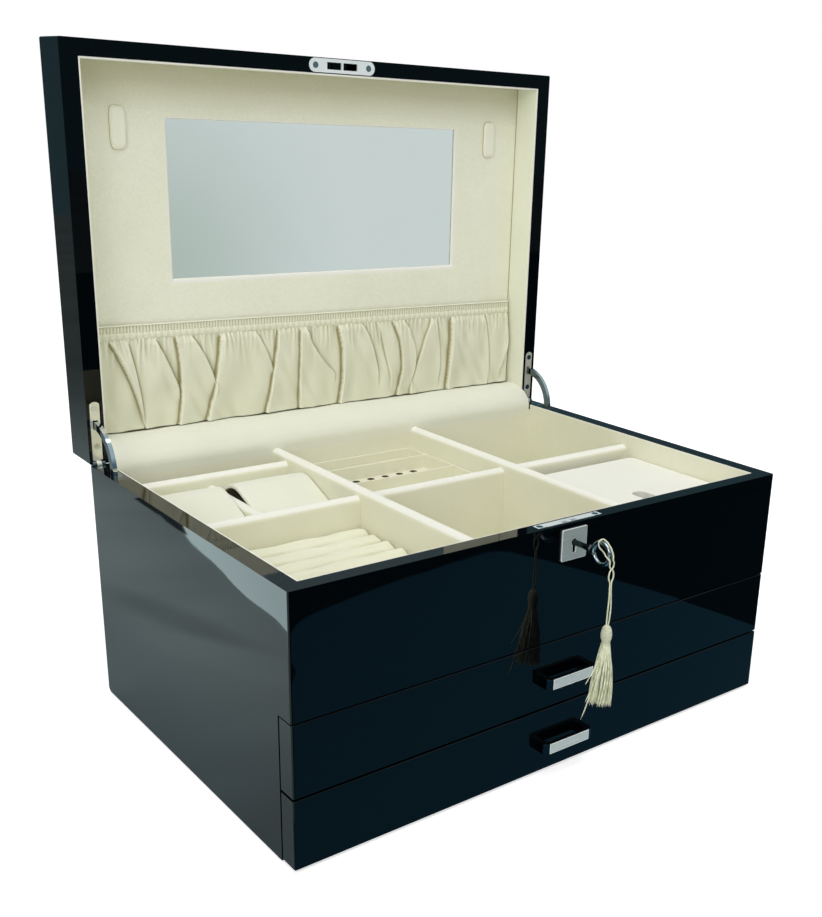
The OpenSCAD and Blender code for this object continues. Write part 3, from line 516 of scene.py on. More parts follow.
low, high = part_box("ring_rolls")
rolls_count, roll_rise, roll_end = 8, 0.0074, 0.004
roll_x = np.concatenate([np.linspace(0, 0.006, 10), np.linspace(0.0065, 0.1065, 60),
                         np.linspace(0.107, high[0] - low[0], 10)]) + low[0]
gx, gv = np.meshgrid(roll_x, np.linspace(0, 1, rolls_count * 18 + 1), indexing="ij")
phase = gv * rolls_count % 1.0
arch = np.sqrt(np.maximum(1e-6, 1 - (2 * phase - 1) ** 2))
from_end = np.clip(np.minimum(gx - low[0], high[0] - gx) / roll_end, 0, 1)
end_fall = np.sqrt(np.clip(1 - (1 - from_end) ** 2, 0, 1))
soft = 0.00035 * np.sin(gx * 190 + gv * 37) + 0.0003 * np.sin(gx * 71 + gv * 90)
gz = high[2] - roll_rise + (roll_rise * arch + soft) * end_fall - 0.003 * (1 - end_fall)
top_sheet = coords(gx, low[1] + gv * (high[1] - low[1]), gz)
skirt_low = top_sheet.copy()
skirt_low[..., 2] = high[2] - 0.022
roll_velour = velour_material("roll_velour", (0.88, 0.885, 0.72), (0.67, 0.66, 0.46), crease=True)
rolls = grid_piece("ring_roll_block", np.concatenate([skirt_low[:, :1], top_sheet, skirt_low[:, -1:]], axis=1),
                   roll_velour)
# painted shade in the grooves where the velour is tucked in between the rolls
groove_shade = 0.5 + 0.35 * np.clip(1 - arch / 0.75, 0, 1)
set_crease(rolls, np.pad(groove_shade, ((0, 0), (1, 1)), constant_values=0.5))
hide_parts("ring_rolls")
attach(rolls, "case")

# ---- Watch pads ----
# A springy sheet bent into an open loop and covered with velour, cream outside and tan inside,
# the tan partly its own colour and partly painted shade; a watch strap closes round it. It rests tilted in its
# bin.
tan = velour_material("tan_and_painted_shade", (0.58, 0.50, 0.33), (0.42, 0.34, 0.20))
pad_r, pad_skin, pad_tilt, pad_reach = 0.0228, 0.0026, math.radians(21.3), 0.0332
pad_centre = (-0.130 + 0.2015, 0.164 - 0.0102 - pad_r)


def pad_section(count):
    """The middle line of the open loop: two half circles joined by straight runs, tilted, with
    a gap in the lower run. Returns points (y, z) and outward directions at even spacing."""
    r = pad_r - pad_skin / 2
    half = math.pi * r
    gap_from, gap_to = 0.0032, 0.0222
    # the length runs from the gap's rear end round the back, over the top and back below, and
    # is measured from the rear circle's lowest point
    d = np.linspace(0, 2 * pad_reach + 2 * half - (gap_to - gap_from), count) - gap_from
    facing = (np.clip(d, 0, half) + np.clip(d - half - pad_reach, 0, half)) / r - math.pi / 2
    shift = np.minimum(d, 0) - np.clip(d - half, 0, pad_reach) + np.maximum(d - 2 * half - pad_reach, 0)
    n = coords(np.cos(facing), np.sin(facing))
    p = r * n + shift[:, None] * np.array([1.0, 0.0])
    c, q = math.cos(pad_tilt), math.sin(pad_tilt)
    turn = np.array([[c, q], [-q, c]])
    return p @ turn + np.array(pad_centre), n @ turn


def watch_pad(name, node_name, body):
    """The loop carried across the pad's width. The two lips are rolled, as a quarter circle
    falls, and the sides are flat with rounded edges."""
    low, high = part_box(node_name)
    p, n = pad_section(120)
    h, edge = pad_skin / 2, 0.0006
    s = np.linspace(0, 1, len(p))
    lip = np.sqrt(np.clip(1 - (1 - np.clip(np.minimum(s, 1 - s) * 60, 0, 1)) ** 2, 0, 1))
    turn = np.linspace(0, math.pi / 2, 5)
    inset = np.concatenate([[0.0], edge * (1 - np.cos(turn))])
    thick = np.concatenate([[0.0], 1 - edge / h * (1 - np.sin(turn))])
    x = np.concatenate([low[0] + inset, np.linspace(low[0] + 2 * h, high[0] - 2 * h, 24),
                        (high[0] - inset)[::-1]])
    f = np.concatenate([thick, np.ones(24), thick[::-1]])
    half = h * lip[:, None] * f[None, :]
    crown = 0.0004 * np.sin(math.pi * (x - low[0]) / (high[0] - low[0]))[None, :]
    outer = p[:, None] + n[:, None] * (half + crown)[..., None]
    inner_side = p[:, None] + n[:, None] * (-half + crown)[..., None]
    loop = np.concatenate([outer, inner_side[::-1]], axis=0)
    piece = grid_piece(name, coords(x, loop[..., 0], loop[..., 1]), wrap_u=True)
    mend(piece.data, merge=2e-6, outward=True)
    # inside faces point towards the straight line between the two circle centres
    axis = np.array([-math.cos(pad_tilt), -math.sin(pad_tilt)])
    rel = each(piece.data.polygons, "center")[:, 1:] - np.array(pad_centre)
    away = rel - np.clip(rel @ axis, 0, pad_reach)[:, None] * axis
    inside = (away * each(piece.data.polygons, "normal")[:, 1:]).sum(axis=1) < 0
    # the inside takes the tan velour: partly its own colour, partly painted shade
    set_faces(piece.data, inside, pale_velour, tan)
    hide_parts(node_name)
    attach(piece, body)


watch_pad("left_pad", "watch_pad_left", "left_watch_pad")
watch_pad("right_pad", "watch_pad_right", "right_watch_pad")

# ---- Padded strip along the hinge side ----
# Velour over thin foam, glued inside the back of the case and inside the lid.
# It hides the gap, and on the box it folds in when the lid comes down; here it is one fixed shape, that of the
# open lid.
low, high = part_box("hinge_gusset")
strip_yz = 0.001 * np.array([
    [119.0, 153.0], [118.8, 156.0], [118.5, 159.4], [118.3, 162.4], [118.7, 165.4], [120.4, 169.0], [123.8, 172.8],
    [128.4, 175.8], [134.0, 178.0], [140.0, 178.9], [146.0, 178.6], [150.6, 177.6], [153.0, 176.4],
    [150.0, 175.2], [140.0, 174.4], [131.0, 174.2], [129.4, 170.0], [129.2, 164.6], [124.0, 164.5],
    [119.6, 164.4], [119.4, 159.0], [119.2, 153.0]])
strip = smooth_line(np.column_stack([np.zeros(len(strip_yz)), strip_yz]), 5)[:, 1:]
quarter = np.linspace(0, math.pi / 2, 6)
strip_end = 0.0015 * (1 - np.cos(quarter))
strip_x = np.concatenate([low[0] + strip_end, np.linspace(low[0] + 0.004, high[0] - 0.004, 150),
                          (high[0] - strip_end)[::-1]])
fade = np.concatenate([np.sin(quarter), np.ones(150), np.sin(quarter)[::-1]])
middle = np.array([0.1275, 0.1715])
ripple = 0.00022 * np.sin(strip_x * 61 + 1) + 0.00012 * np.sin(strip_x * 137) + 0.00006 * np.sin(strip_x * 290)
body_line = strip[None] + (1 - fade[:, None, None]) * 0.25 * (middle - strip)[None] * np.array([0.15, 0.15])
body_line = body_line + coords(0.0, ripple)[:, None] * (strip[None, :, 1:] > 0.170)
strip_points = coords(strip_x[:, None], body_line[..., 0], body_line[..., 1])
hinge_strip = grid_piece("hinge_strip", strip_points, pale_velour, wrap_v=True, caps=True)
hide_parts("hinge_gusset")
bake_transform(hinge_strip)

# ---- Inside of the lid ----
# A board padded with thin foam and covered with velour, its window showing a
# mirror; two small cushions that hold necklaces, and a gathered pocket.
open_turn = math.radians(89.0)
hinge_y, hinge_z = 0.130, 0.16415
lid_pad_z = 0.164 + 0.0003 + 0.0235


def on_open_lid(points):
    """Points given for the closed lid, turned about the hinge line to the open lid's place."""
    y, z = points[..., 1] - hinge_y, points[..., 2] - hinge_z
    c, s = math.cos(open_turn), math.sin(open_turn)
    return coords(points[..., 0], hinge_y + y * c + z * s, hinge_z - y * s + z * c)


def rectangle(w, d, r=0.0006):
    """Points round a rectangle w by d: five on each corner, a quarter circle of radius r, and
    47 spaced evenly along the straight line from it to the next corner."""
    arcs = []
    for k, (sx, sy) in enumerate(((1, 1), (-1, 1), (-1, -1), (1, -1))):
        a = np.linspace(0, math.pi / 2, 5) + k * math.pi / 2
        arcs.append(np.array([sx * (w / 2 - r), sy * (d / 2 - r)]) + r * coords(np.cos(a), np.sin(a)))
    part = np.linspace(0, 1, 48, endpoint=False)[1:, None]
    sides = [arcs[k][-1] + part * (arcs[(k + 1) % 4][0] - arcs[k][-1]) for k in range(4)]
    return np.vstack([piece for pair in zip(arcs, sides) for piece in pair])


pad_w, pad_d = 0.358, 0.240
window_w, window_d, window_y = 0.233, 0.1024, hinge_y - 0.1652
inner_line = rectangle(window_w, window_d) + np.array([0, window_y])
outer_line = rectangle(pad_w - 0.0002, pad_d - 0.0002)
# from the mirror up the window's rolled edge, across the padded face and down at the rim
quarter, across_face = np.linspace(0, math.pi / 2, 5), np.linspace(0.03, 0.97, 26)
w_steps = np.concatenate([[0, 0, 0], 0.0012 * (1 - np.cos(quarter)) / 0.06, across_face, [0.985, 1.0, 1.0]])
z_steps = np.concatenate([[0.0032, 0.0022, 0.0016], 0.0012 * (1 - np.sin(quarter)),
                          -0.0005 * np.sin(np.pi * across_face), [0.0001, 0.0008, 0.0032]])
face = inner_line[None] * (1 - w_steps)[:, None, None] + outer_line[None] * w_steps[:, None, None]
face = coords(face[..., 0], face[..., 1], (lid_pad_z + z_steps)[:, None])
lid_board = grid_piece("lid_padded_board", on_open_lid(face), wrap_v=True)
mend(lid_board.data, merge=1e-7)
# painted shade, darker and yellower towards the front rim, which is the top of the open lid, and a paler painted
# highlight lower down
board_z = each(lid_board.data.vertices, "co")[:, 2]
set_crease(lid_board, 0.36 + 0.36 * np.clip((board_z - 0.368) / 0.036, 0, 1) ** 1.2)
lid_velour = velour_material("lid_velour", (0.92, 0.93, 0.77), (0.66, 0.66, 0.46), 650.0, 0.0004, crease=True)
window_wall_shade = velour_material("window_wall_shade", (0.05, 0.055, 0.045), (0.03, 0.03, 0.02))
# a painted highlight where the pile turns over the window's edge, and below it, on the wall
# down to the mirror, a painted near-black shade line; at the rim a painted dark shade line
rows = np.repeat(np.arange(len(w_steps) - 1), face.shape[1])
index = np.select([rows < 2, rows < 8, rows < len(w_steps) - 4], [2, 1, 0], 3)
set_faces(lid_board.data, index[:len(lid_board.data.polygons)], lid_velour, highlight_velour, window_wall_shade, tan)
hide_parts("lid_pad")
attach(lid_board, "lid")


def mirror_material():
    """Silvered glass: bright metal with a cool tint and a very faint haze of dust."""
    mat, t, bsdf = new_material("silvered_glass", Metallic=1.0)
    look = node(t, "Group", node_tree=polish, Roughness=0.01, Smear=0.03)
    haze = mix(t, (look, "Height"), (0.82, 0.86, 0.85), (0.84, 0.88, 0.87))
    feed(bsdf, Roughness=(look, "Roughness"), Base_Color=haze)
    return mat


dress("lid_mirror", mirror_material())

for side, name in ((-1, "left_cushion"), (1, "right_cushion")):
    # a rounded oblong: the rim is a superellipse and the flat top turns down steeply at it
    around, rings = 64, 20
    a = np.linspace(0, 2 * np.pi, around, endpoint=False)
    r = 1 - (1 - np.linspace(0.02, 1, rings)) ** 1.6
    ca, sa = np.cos(a), np.sin(a)
    reach = 1 / (np.abs(ca / 0.0053) ** 5 + np.abs(sa / 0.0135) ** 5) ** 0.2
    gx = side * 0.149 + r[:, None] * (ca * reach)[None]
    gy = hinge_y - 0.210 + r[:, None] * (sa * reach)[None]
    stack = coords(gx, gy, lid_pad_z - 0.0031 * (1 - r[:, None] ** 9) ** 0.5)
    foot = stack[-1:].copy()
    foot[..., 2] = lid_pad_z + 0.0006
    pad = grid_piece(name, on_open_lid(np.concatenate([stack, foot])), wrap_v=True, caps=True)
    # painted shade: the foot, where the cushion meets the board, takes the tan velour as a dark outline
    row = np.arange(len(pad.data.polygons)) // around
    set_faces(pad.data, (row >= rings - 3) & (row < rings), bright_velour, tan)
    if side < 0:
        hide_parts("lid_cushions")
    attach(pad, "lid")

# the gathered pocket: u runs across the lid and l up it from the hinge; the gathers sit a
# little lower on the right
cloth_u = np.linspace(-0.1770, 0.1770, 900)
cloth_l = np.concatenate([[0.0166, 0.0152, 0.0151], np.linspace(0.0156, 0.0655, 30),
                          np.linspace(0.0664, 0.0768, 16)])
ux, ul = np.meshgrid(cloth_u, cloth_l, indexing="ij")
down = np.clip((0.0768 - ul) / (0.0768 - 0.0156), 0, 1)
depth = 0.0034 + 0.0040 * (1 - (1 - down) ** 2.4) ** 0.8
swells = (0.0006 * np.sin(ux * 118 + 31 * ul + 2 * np.sin(ul * 90))
          + 0.0005 * np.sin(ux * 260 - 60 * ul + 1 + 1.5 * np.sin(ux * 41))
          + 0.0003 * np.sin(ux * 395 + 150 * ul + 2 * np.sin(ux * 77 + ul * 60)))
depth += swells * np.clip(down * 4, 0, 1)


def lap(across, side, rise, near, far):
    """Height across a lapped fold: one side stands up and sinks back slowly, the other dips and
    comes back sooner, and a steep smooth step joins them."""
    t = across * side
    step = 0.5 + 0.5 * np.tanh(t / 0.00032)
    return rise * (step * np.exp(-np.maximum(t, 0) / far) - 0.8 * (1 - step) * np.exp(np.minimum(t, 0) / near))


# each fold in mm: its place across the lid at three heights, those heights, the side that laps
# over the other, its rise, and how far its dip and its swell reach
folds = [
    (-162, -153.2, -144.7, 70, 48, 15, 1, 1.5, 5.0, 5), (-151.8, -148.6, -145.2, 70, 52, 18, -1, 1.0, 2.5, 4),
    (-131, -124.6, -118.6, 71, 57, 40, -1, 1.5, 5.0, 6), (-118.1, -117.1, -121.1, 71, 44, 15, 1, 1.6, 3.0, 9),
    (-103.9, -97.1, -91.8, 71, 58, 42, -1, 1.5, 5.5, 7), (-86.3, -91, -99.8, 71, 47, 15, 1, 1.8, 3.5, 10),
    (-56.3, -50, -46.5, 72, 58, 48, -1, 1.2, 4.0, 6), (-41.3, -45.8, -53.7, 71, 48, 15, 1, 1.6, 4.0, 8),
    (-22.8, -24.7, -25.5, 74, 44, 15, 1, 1.3, 3.0, 8), (-16.6, -9.3, 4.5, 73, 57, 40, -1, 1.7, 8.0, 6),
    (10.1, 11.9, 7.9, 73, 44, 14, 1, 2.0, 4.5, 10), (33.4, 40.5, 44.0, 72, 55, 34, -1, 1.5, 3.5, 6),
    (46.5, 51, 55, 72, 52, 30, 1, 0.7, 3.5, 6), (59.8, 65.3, 62, 74, 55, 17, 1, 1.5, 3.0, 6),
    (71.6, 79, 76, 73, 50, 26, -1, 1.6, 4.0, 5), (94.5, 84.2, 74, 73, 47, 19, 1, 0.9, 5.0, 8),
    (100, 104, 102, 73, 52, 26, -1, 0.7, 4.0, 8), (115.6, 112.9, 110, 74, 45, 20, 1, 2.1, 5.0, 10),
    (150.4, 153.6, 151.5, 73, 47, 16, -1, 1.0, 4.0, 8), (176.4, 173.5, 166, 66, 46, 26, -1, 1.3, 4.0, 6)]
for a, b, c, high_l, mid_l, low_l, side, rise, near, far in folds:
    line = np.polyfit([high_l, mid_l, low_l], [a, b, c], 2)
    at = np.polyval(line, np.clip(ul * 1000, low_l, 80)) / 1000
    low_end = np.clip((ul * 1000 - low_l + 9) / 12, 0, 1) if low_l > 20 else 1.0
    depth += lap(ux - at, side, 1.45 * rise / 1000, near / 1000, far / 1000) * low_end * np.clip(down * 14, 0, 1)
# short gathers of many lengths hang from the stitching
rng = np.random.default_rng(21)
for at in np.arange(-0.175, 0.177, 0.0034) + rng.uniform(-0.0012, 0.0012, 104):
    reach = rng.uniform(0.06, 0.34)
    width = 0.0007 + 0.0026 * down
    rise = rng.uniform(0.3, 1.3) * 0.001
    aside = ux - at - rng.uniform(-0.010, 0.010) * down
    depth += rise * np.exp(-(aside / width) ** 2) * np.exp(-(down / reach) ** 2)
depth = np.clip(depth, 0.0012, 0.0115)
depth[:, 1] *= 0.96
depth[:, 0] = 0.0008
drop = 0.0036 * (ux / 0.354 + 0.5)
rounded = np.sin(np.clip((0.1770 - np.abs(ux)) / 0.004, 0, 1) * math.pi / 2)
depth = 0.0006 + (depth - 0.0006) * (0.15 + 0.85 * rounded)
cloth = on_open_lid(coords(ux, hinge_y - ul + drop * (1 - down), lid_pad_z - depth))
pocket_velour = velour_material("pocket_velour", (0.84, 0.85, 0.68), (0.66, 0.65, 0.44), crease=True)
pocket = grid_piece("gathered_pocket", cloth, pocket_velour, uv=coords(ux * 1.6, ul))


def crease_of(depth, spacing, scales):
    """How far each place lies below its surroundings, as 0.5 and up to 0.5 more in a crease or
    less on a ridge: the depth blurred across the folds, less the depth, over each full value."""
    found = np.full_like(depth, 0.5)
    for sigma, full, deep_part, ridge_part in scales:
        bell = np.exp(-(np.arange(-20, 21) * spacing / sigma) ** 2 / 2)
        wide = np.pad(depth, ((20, 20), (0, 0)), mode="edge")
        low_by = sum(w * wide[i:i + len(depth)] for i, w in enumerate(bell / bell.sum())) - depth
        found += deep_part * np.clip(low_by / full, 0, 1) + ridge_part * np.clip(low_by / full, -1, 0)
    return np.clip(found, 0, 1)


# painted shade in the pocket's creases and a painted highlight on its ridges
crease = crease_of(depth, cloth_u[1] - cloth_u[0], ((0.0026, 0.0016, 0.26, 0.12), (0.0008, 0.00042, 0.30, 0.16)))
set_crease(pocket, crease)
wall = pocket.modifiers.new("thickness", "SOLIDIFY")
wall.thickness = 0.0006
wall.offset = -1.0
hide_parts("lid_pocket")
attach(pocket, "lid")

# the casing over the gathers: a plain hem below and, above a seam, elastic with fine upright
# ribs, closed at the top by a rolled edge
band_l = np.concatenate([np.linspace(0.0760, 0.0808, 12), np.linspace(0.0811, 0.0852, 10),
                         np.linspace(0.0854, 0.0862, 5)])
band_u = np.linspace(-0.1770, 0.1770, 1100)
bx, bl = np.meshgrid(band_u, band_l, indexing="ij")
ribs = 0.0003 * np.sin(bx * 2 * np.pi / 0.0022 + 1.5 * np.sin(bx * 60)) * (bl > 0.0810) * (bl < 0.0853)
hem = (0.0009 * np.sin(np.pi * np.clip((bl - 0.0760) / 0.0049, 0, 1)) ** 0.5
       + 0.00014 * np.sin(bx * 2 * np.pi / 0.0047 + 2 * np.sin(bx * 47)) * (bl > 0.0765)) * (bl < 0.0810)
roll = 0.0008 * np.sin(np.pi * np.clip((bl - 0.0852) / 0.0012, 0, 1)) ** 0.5
band_depth = 0.0036 + ribs + hem + roll
band_end = np.clip((0.1770 - np.abs(bx)) / 0.003, 0, 1)
band_depth = 0.0006 + (band_depth - 0.0006) * np.sin(band_end * math.pi / 2)
band_y = hinge_y - bl + 0.0036 * (bx / 0.354 + 0.5)
front_side = coords(bx, band_y, lid_pad_z - band_depth)
back_side = coords(bx, band_y, lid_pad_z - np.minimum(band_depth, 0.0022))
band_loop = np.concatenate([front_side, back_side[:, ::-1]], axis=1)
band = grid_piece("pocket_band", on_open_lid(band_loop), pocket_velour, wrap_v=True, caps=True)
# painted shade between the ribs and a painted highlight on them, painted shadow lines along the seam and under the
# rolled top, and a painted highlight on the roll
tone = crease_of(band_depth, band_u[1] - band_u[0], ((0.0012, 0.0003, 0.25, 0.2),))
tone += 0.16 * (np.abs(bl - 0.0811) < 0.0003) + 0.14 * (np.abs(bl - 0.0852) < 0.0002) - 0.3 * (bl > 0.0855)
set_crease(band, np.hstack([tone, np.full_like(tone, 0.5)]))
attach(band, "lid")

# ---- Metal fittings ----
# Plated brass and steel: polished escutcheon, lock and catch plates, hinges with
# their curved stays, key, and bridge pulls screwed on from inside.


def brushed_group():
    """Fine scratches: noise stretched along x gives Height and a small spread of Roughness."""
    t, i, o = group("scratches", "Roughness Spread", "Roughness Height")
    place = node(t, "TexCoord"), "Object"
    long = node(t, "Mapping", Vector=place, Scale=(60.0, 1500.0, 1500.0))
    lines = node(t, "TexNoise", Vector=(long, 0), Scale=1.0, Detail=3.0)
    uneven = calc(t, "MULTIPLY", (lines, "Fac"), (i, "Spread"))
    feed(o, Roughness=calc(t, "ADD", uneven, (i, "Roughness")), Height=(lines, "Fac"))
    return t


scratches = brushed_group()


def metal_material(name, color, roughness, spread, metallic):
    """Plated metal over the scratches group; satin plating scatters part of the light."""
    mat, t, bsdf = new_material(name, Base_Color=color, Metallic=metallic)
    look = node(t, "Group", node_tree=scratches, Roughness=roughness, Spread=spread)
    bump = node(t, "Bump", Strength=0.15, Distance=0.00005, Height=(look, "Height"))
    feed(bsdf, Roughness=(look, "Roughness"), Normal=(bump, 0))
    return mat


chrome = metal_material("polished_plating", (0.74, 0.78, 0.80), 0.06, 0.06, 1.0)
# chrome with a darkened base: painted dark reflection
painted_dark_chrome = metal_material("painted_dark_plating", (0.13, 0.16, 0.18), 0.07, 0.05, 1.0)
# chrome with a near-black base: painted dark reflection
painted_black_chrome = metal_material("painted_black_plating", (0.045, 0.055, 0.06), 0.10, 0.05, 1.0)
satin = metal_material("satin_plating", (0.83, 0.88, 0.81), 0.24, 0.05, 0.35)
plate_satin = metal_material("plate_satin", (0.44, 0.51, 0.49), 0.24, 0.05, 0.35)
# a near-white, mostly matt metal for painted highlights on edges
highlight_edge_metal = metal_material("bright_edge", (0.97, 1.0, 0.98), 0.30, 0.05, 0.15)


def framed_front(piece):
    """Inlays a front in the piece's flat face that looks forward: the face takes the paler satin,
    partly a satin finish and partly a painted reflection, and a margin round it takes a painted highlight."""
    shell = bmesh.new()
    shell.from_mesh(piece.data)
    shell.normal_update()
    front = max((f for f in shell.faces if f.normal.y < -0.98), key=lambda f: f.calc_area())
    ring = bmesh.ops.inset_region(shell, faces=[front], thickness=0.0005, use_even_offset=True)["faces"]
    for face in ring:
        face.material_index = 2
    front.material_index = 1
    shell.to_mesh(piece.data)
    shell.free()
    piece.data.materials.append(satin)
    piece.data.materials.append(highlight_edge_metal)


key_plate = from_nodes("key_plate", ["escutcheon"], plate_satin, "case", 0.00035, 2)
# painted highlight: the escutcheon's rounded edges take the near-white metal
key_plate.data.materials.append(highlight_edge_metal)
key_plate.modifiers["bevel"].material = 1
# the lock and catch plates are pale and mostly matt: partly a satin finish, partly a painted reflection of the
# pale lining
pale_satin = metal_material("pale_satin", (0.86, 0.92, 0.92), 0.28, 0.06, 0.2)
from_nodes("rim_lock_plate", ["lock_plate"], pale_satin, "case", 0.0001, 1)
from_nodes("lid_catch", ["catch_plate"], pale_satin, "lid", 0.0003, 2)
for level_name in ("upper", "lower"):
    # the pull's body takes the near-black base: painted dark reflection
    pull = from_nodes(level_name + "_pull", [level_name + "_drawer_pull"], painted_black_chrome,
                      level_name + "_drawer", 0.0002, 2)
    framed_front(pull)
for n in ("stay_left", "stay_right", "case_hinge_leaves", "hinge_pins"):
    dress(n, painted_dark_chrome)
# painted reflection: the stays' curved faces take the bright chrome and their flat sides the darkened one
for n in ("stay_left", "stay_right"):
    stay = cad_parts[n].data
    set_faces(stay, np.abs(each(stay.polygons, "normal")[:, 0]) < 0.5, chrome)
# painted dark reflection: the key's ring bow has a darker base than the other chrome, and its shank a near-black
# one
dress("key", painted_black_chrome)
key_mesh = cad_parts["key"].data
bow_plating = metal_material("bow_plating", (0.50, 0.54, 0.56), 0.06, 0.06, 1.0)
set_faces(key_mesh, each(key_mesh.polygons, "center")[:, 1] < -0.1475, bow_plating)
# the lid's leaves are let in with a narrow gap along their sides
leaf_plating = metal_material("leaf_plating", (0.86, 0.84, 0.70), 0.16, 0.06, 0.5)
leaf_middle, leaf_half_width = 0.1845, 0.0032
leaves = from_nodes("lid_leaves", ["lid_hinge_leaves"], leaf_plating, "lid", 0.0002, 2)
spot = each(leaves.data.vertices, "co")
middle_x = np.copysign(leaf_middle, spot[:, 0])
spot[:, 0] = np.clip(spot[:, 0], middle_x - leaf_half_width, middle_x + leaf_half_width)
leaves.data.vertices.foreach_set("co", spot.ravel())
for n in ("case_screws", "lid_screws", "lock_case", "claw_left", "claw_right",
          "upper_pull_screws", "lower_pull_screws"):
    dress(n, chrome)


def felt_material():
    """Thin black felt: matt, with a coarse fibrous grain."""
    mat, t, bsdf = new_material("black_felt", Roughness=1.0)
    look = node(t, "Group", node_tree=nap, Color=(0.02, 0.02, 0.022), Dark=(0.008, 0.008, 0.009), Grain=700.0)
    feed(bsdf, Base_Color=(look, "Color"))
    return mat


dress("base_felt", felt_material())

# ---- Floor, world, lamps and reflector sheets ----
# A pale floor in a studio, broad soft lamps from above and in front, and plain
# coloured sheets and a card that show only as reflections in gloss and metal.


def floor_material():
    """Pale matt floor. To the camera it is lifted to white away from the shadow, and in
    reflections it is a cooler grey with slow soft patches that fades with distance."""
    mat, t, bsdf = new_material("pale_floor", Roughness=0.9, Emission_Color=(1, 1, 1))
    path = node(t, "LightPath")
    place = node(t, "TexCoord"), "Object"
    patches = node(t, "TexNoise", Vector=place, Scale=5.5, Detail=1.0, Distortion=0.8)
    far = node(t, "VectorMath", place, operation="LENGTH")
    level = calc(t, "MULTIPLY", remap(t, (patches, "Fac"), 0.3, 0.7, 0.78, 1.0),
                 remap(t, (far, "Value"), 0.45, 1.3, 1.0, 0.22, smooth=True))
    # to the left lie two long soft patches, one darker and one paler, and the dark is bluer
    spots = []
    for middle, turn, size, gain in (((-0.281, 0.215), 1.33, (0.105, 0.017), -0.24),
                                     ((-0.285, 0.125), 1.15, (0.080, 0.020), 0.22)):
        spot = node(t, "Mapping", vector_type="TEXTURE", Vector=place, Location=(*middle, 0.0),
                    Rotation=(0.0, 0.0, turn), Scale=(*size, 1.0))
        reach = node(t, "VectorMath", (spot, 0), operation="LENGTH")
        spots.append(remap(t, (reach, "Value"), 0.25, 1.35, gain, 0.0, smooth=True))
    shade = calc(t, "MULTIPLY_ADD", level, calc(t, "ADD", *spots), level)
    beside = remap(t, (node(t, "SeparateXYZ", place), "X"), -0.20, -0.30, smooth=True)
    hue = mix(t, beside, (0.55, 0.72, 0.76), (0.80, 1.0, 1.0))
    cool = mix(t, shade, (0.0, 0.0, 0.0), hue)
    feed(bsdf, Base_Color=mix(t, (path, "Is Glossy Ray"), (0.82, 0.82, 0.82), cool),
         Emission_Strength=calc(t, "MULTIPLY", (path, "Is Camera Ray"), 0.6))
    return mat


floor_corners = coords(*np.meshgrid((-4.0, 4.0), (-4.0, 4.0), indexing="ij"), 0.0)
floor = grid_piece("floor", floor_corners, floor_material())


def floor_line(height, *places):
    """The places x, y on the floor, given in mm, as points in metres that much above it."""
    return 0.001 * np.array([(x, y, height) for x, y in places])


def reflector(name, corners, color, corner=None, fade=1.0):
    """A flat sheet with those corners that gives off a colour and is seen only by glossy rays,
    so that it lights and shades nothing. corner is a second colour at its first corner, which
    turns into the other over the fade distance."""
    mesh = bpy.data.meshes.new(name)
    mesh.from_pydata([tuple(c) for c in corners], [], [list(range(len(corners)))])
    sheet = add_object(name, mesh)
    mat, t, bsdf = new_material(name)
    t.nodes.remove(bsdf)
    if corner is not None:
        away = node(t, "VectorMath", (node(t, "TexCoord"), "Object"), tuple(corners[0]), operation="DISTANCE")
        color = mix(t, remap(t, (away, "Value"), 0.0, fade, smooth=True), corner, color)
    glow = node(t, "Emission", Color=color)
    feed(t.nodes["Material Output"], Surface=(glow, 0))
    sheet.data.materials.append(mat)
    sheet.visible_camera = sheet.visible_diffuse = sheet.visible_shadow = False
    sheet.visible_transmission = sheet.visible_volume_scatter = False


# a black sheet on the floor in front, with a smaller navy one on it that ends in a rounded line
reflector("black_sheet", floor_line(0.4, (-190, -131), (-1000, -1600), (1800, -1600), (1200, -131)),
          (0.010, 0.030, 0.042))
navy_edge = smooth_line(floor_line(
    0.8, (-70, -340), (-60, -372), (-44, -397), (-18, -420), (30, -434), (100, -447), (170, -454),
    (208, -454), (228, -426), (250, -354), (268, -280), (278, -200), (281, -131)), 6)
reflector("navy_sheet", np.vstack([[[-0.25, -0.131, 0.0008]], navy_edge]), (0.055, 0.185, 0.29))
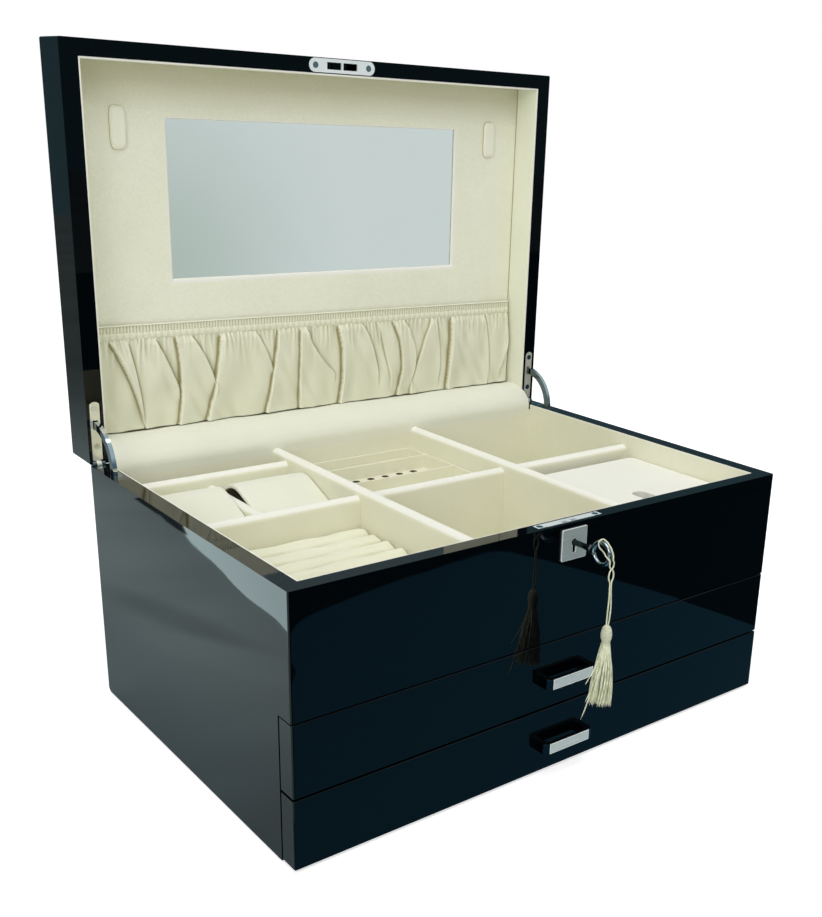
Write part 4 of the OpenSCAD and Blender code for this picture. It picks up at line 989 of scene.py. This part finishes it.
# a bright strip on the floor to the left, with a dark one behind it
bright_edge = smooth_line(floor_line(
    0.8, (-376, 420), (-368, 396), (-362, 360), (-357, 310), (-350, 264), (-345, 226), (-344, 196),
    (-343, 172), (-339, 150), (-338, 120), (-352, 90), (-380, 60)), 6)
reflector("bright_sheet", np.vstack([[[-0.62, 0.42, 0.0008]], bright_edge, [[-0.62, 0.06, 0.0008]]]),
          (2.2, 2.8, 2.85))
dark_edge = floor_line(0.9, (-369, 392), (-377, 421), (-380, 530), (-372, 530), (-371, 462), (-368, 423))
reflector("dark_strip", dark_edge, (0.05, 0.07, 0.08))
# a pale upright card that fills the mirror
reflector("mirror_card", [(0.29, -0.9, 0.09), (0.29, -0.9, 0.40), (0.98, -0.9, 0.40), (0.98, -0.9, 0.09)],
          (0.675, 0.73, 0.725), corner=(0.48, 0.55, 0.51), fade=0.42)

world = bpy.data.worlds.new("studio")
bpy.context.scene.world = world
world.use_nodes = True
t = world.node_tree
path = node(t, "LightPath")
lit = mix(t, (path, "Is Camera Ray"), (0.55, 0.55, 0.55), (1, 1, 1))
# reflections see a dark room at eye level, higher towards the back, and a pale ceiling
height = node(t, "SeparateXYZ", (node(t, "TexCoord"), "Generated"))
lower = calc(t, "MULTIPLY_ADD", calc(t, "MAXIMUM", (height, "Y"), 0.0), -0.8, (height, "Z"))
rise = remap(t, lower, 0.12, 0.5, smooth=True)
room = mix(t, rise, (0.065, 0.13, 0.155), (0.36, 0.46, 0.50))
feed(t.nodes["Background"], Color=mix(t, (path, "Is Glossy Ray"), lit, room), Strength=1.0)


def soft_lamp(name, place, target, size, power):
    """A square area lamp at place, facing target."""
    data = bpy.data.lights.new(name, "AREA")
    data.size = size
    data.energy = power
    lamp = add_object(name, data)
    z = np.array(place) - np.array(target)
    z = z / np.linalg.norm(z)
    x = np.cross((0.0, 0.0, 1.0), z)
    x = x / np.linalg.norm(x)
    stand(lamp, x, np.cross(z, x), z, place)


soft_lamp("top_lamp", (-0.3, -0.5, 1.9), (0, 0, 0.15), 1.4, 14)
soft_lamp("front_lamp", (-1.9, -1.3, 1.1), (0, 0, 0.2), 1.1, 10.5)

bpy.context.scene.view_settings.view_transform = "Standard"
